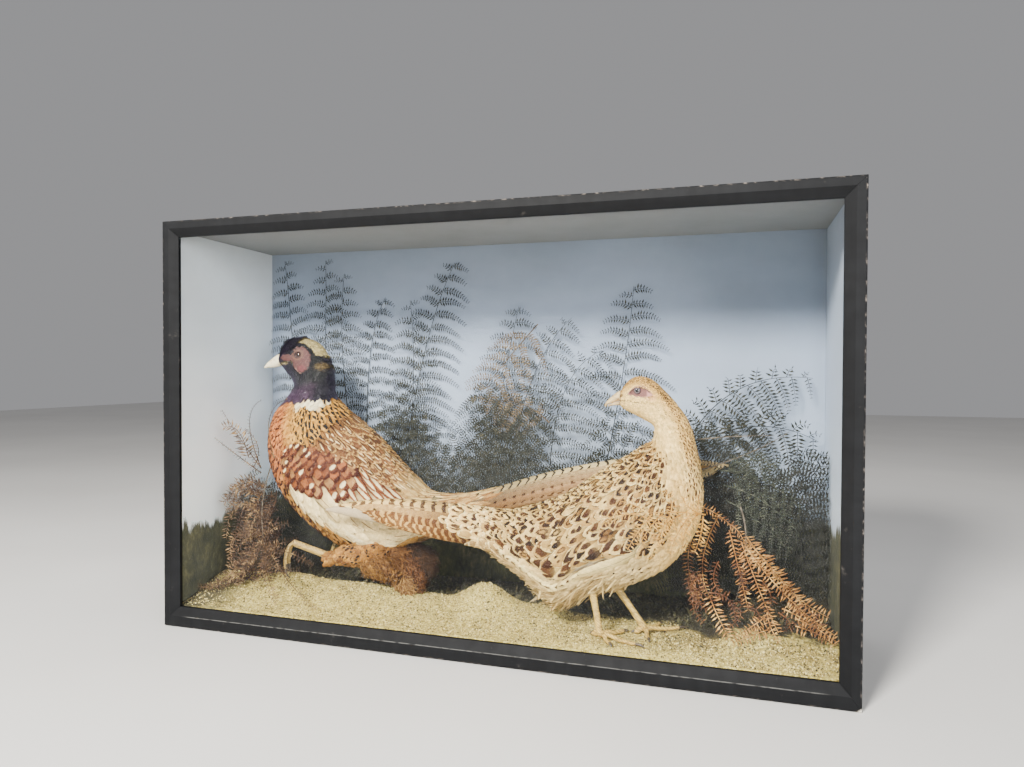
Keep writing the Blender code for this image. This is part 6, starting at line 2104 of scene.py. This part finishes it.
def leaf_material(name):
    """Dried leaf in three tones, with patches of them where the leaf has any."""
    dark, middle, pale, patches = LEAVES[name]
    m = Shader(name, 0.8)
    tone = m.noise(130.0, 4.0, roughness=0.7)
    if patches:
        tone = tone + (m.noise(38.0, 3.0) - 0.5) * patches
    m.colour(m.ramp(tone, (0.30, dark), (0.52, middle), (0.74, pale)))
    m.bump(tone, 0.0004, 0.4)
    return m.material


def at_depth(y, points):
    """Points given as x and z, all at one y."""
    return [(x, y, z) for x, z in points]


def build_ferns():
    green = leaf_material("dried_fern")
    for index, (y, *points, width) in enumerate(BACK_FERNS):
        frond = Frond()
        form = {} if index < 10 else {"tooth": 0.0115, "pitch": 0.0050, "arch": 0.60}
        frond.grow(*at_depth(y, points), width * 1.25, TO_GLASS, **form)
        frond.build(f"fern_frond_{index + 1}", green, "dried_fern", f"fern_{index + 1}")
    build_undergrowth(green)
    bracken = {name: leaf_material(name) for name in LEAVES if name.endswith("bracken")}
    for index, (root, middle, tip, width) in enumerate(BRACKEN):
        frond = Frond()
        frond.garland(root, middle, tip, width * 1.30, (0.0, -1.0, 0.35))
        leaf = bracken["dried_bracken" if root[0] > 0 else "curled_bracken"]
        frond.build(f"bracken_frond_{index + 1}", leaf, "dried_bracken", f"bracken_{index + 1}")
    for name, rows, leaf, curl, times in BRACKEN_PIECES:
        frond = Frond()
        flat = curl < 0.1
        facing = (0.0, -1.0, 0.0 if flat else 0.3)
        for root, middle, tip, width in rows:
            points = np.array([root, middle, tip])
            for _ in range(times):
                astray = RNG.normal(0, 0.006, (3, 3)) + FARTHER_BACK
                points = points + astray * (times > 1)
                frond.garland(*points, width * (1.35 if flat else 1.0), facing, curl)
        frond.build(name, bracken[leaf], "dried_bracken")
    stems = Frond()
    for points in STEMS:
        stems.stem(*points, TO_GLASS, 0.0011)
    stems.build("bare_stems", leaf_material("twigs"), "dried_bracken")
    withered = Frond()
    for y, *points, width in WITHERED_FRONDS:
        withered.grow(*at_depth(y, points), width, TO_GLASS)
    withered.build("withered_fern", leaf_material("tan_fern"), "dried_fern")


def build_undergrowth(green):
    """Shorter fronds that fill in behind the birds, in two layers."""
    near, far = Frond(), Frond()
    for frond, y_low, y_high, count in ((near, 0.075, 0.095, 9), (far, 0.100, 0.114, 9)):
        for k in range(count):
            share = (k + RNG.uniform(0.2, 0.8)) / count
            x = -0.27 + 0.64 * share
            tall = 0.30 + 0.06 * math.sin(k * 2.1) - 0.05 * (x > 0.22)
            lean = RNG.normal(0, 0.05) + 0.05 * math.sin(k * 1.3)
            y = RNG.uniform(y_low, y_high)
            root = (x, y, 0.10 + 0.03 * RNG.random())
            tip = (x + lean * 1.6, y, tall)
            middle = (x + lean * 0.5, y, (root[2] + tall) / 2)
            frond.grow(root, middle, tip, RNG.uniform(0.150, 0.200), (0.0, -1.0, RNG.normal(0, 0.12)))
    # The thickets low at the right and the left are the fern in a darker finish: painted shade deep
    # among them
    thicket = Frond()
    for k in range(23):
        right = k < 15
        x = RNG.uniform(0.280, 0.430) if right else RNG.uniform(-0.430, -0.335)
        y = RNG.uniform(0.025, 0.075) if right else RNG.uniform(0.020, 0.060)
        tall = RNG.uniform(0.19, 0.305) if right else RNG.uniform(0.14, 0.21)
        tall = tall - 0.30 * max(0.0, x - 0.36) * right
        lean = RNG.normal(0.02 if right else 0.0, 0.03)
        thicket.grow((x, y, 0.050), (x + lean * 0.3, y, (0.060 + tall) / 2), (x + lean, y, tall), 0.125,
                     (0.0, -1.0, RNG.normal(0, 0.2)), spacing=0.0170, tooth=0.0092, pitch=0.0042)
    thicket.build("thicket", leaf_material("shaded_fern"), "dried_fern")
    paler = Frond()
    for y, *points in MOSSY_FRONDS:
        paler.grow(*at_depth(y, points), 0.040, TO_GLASS, spacing=0.0130, tooth=0.0062, pitch=0.0036,
                   slant=1.0)
    paler.build("mossy_fern", leaf_material("mossy_fern"), "dried_fern")
    near.build("undergrowth_near", green, "dried_fern")
    far.build("undergrowth_far", green, "dried_fern")


def main():
    build_stage()
    dress_case()
    build_groundwork()
    build_ferns()
    build_cock()
    build_hen()


main()
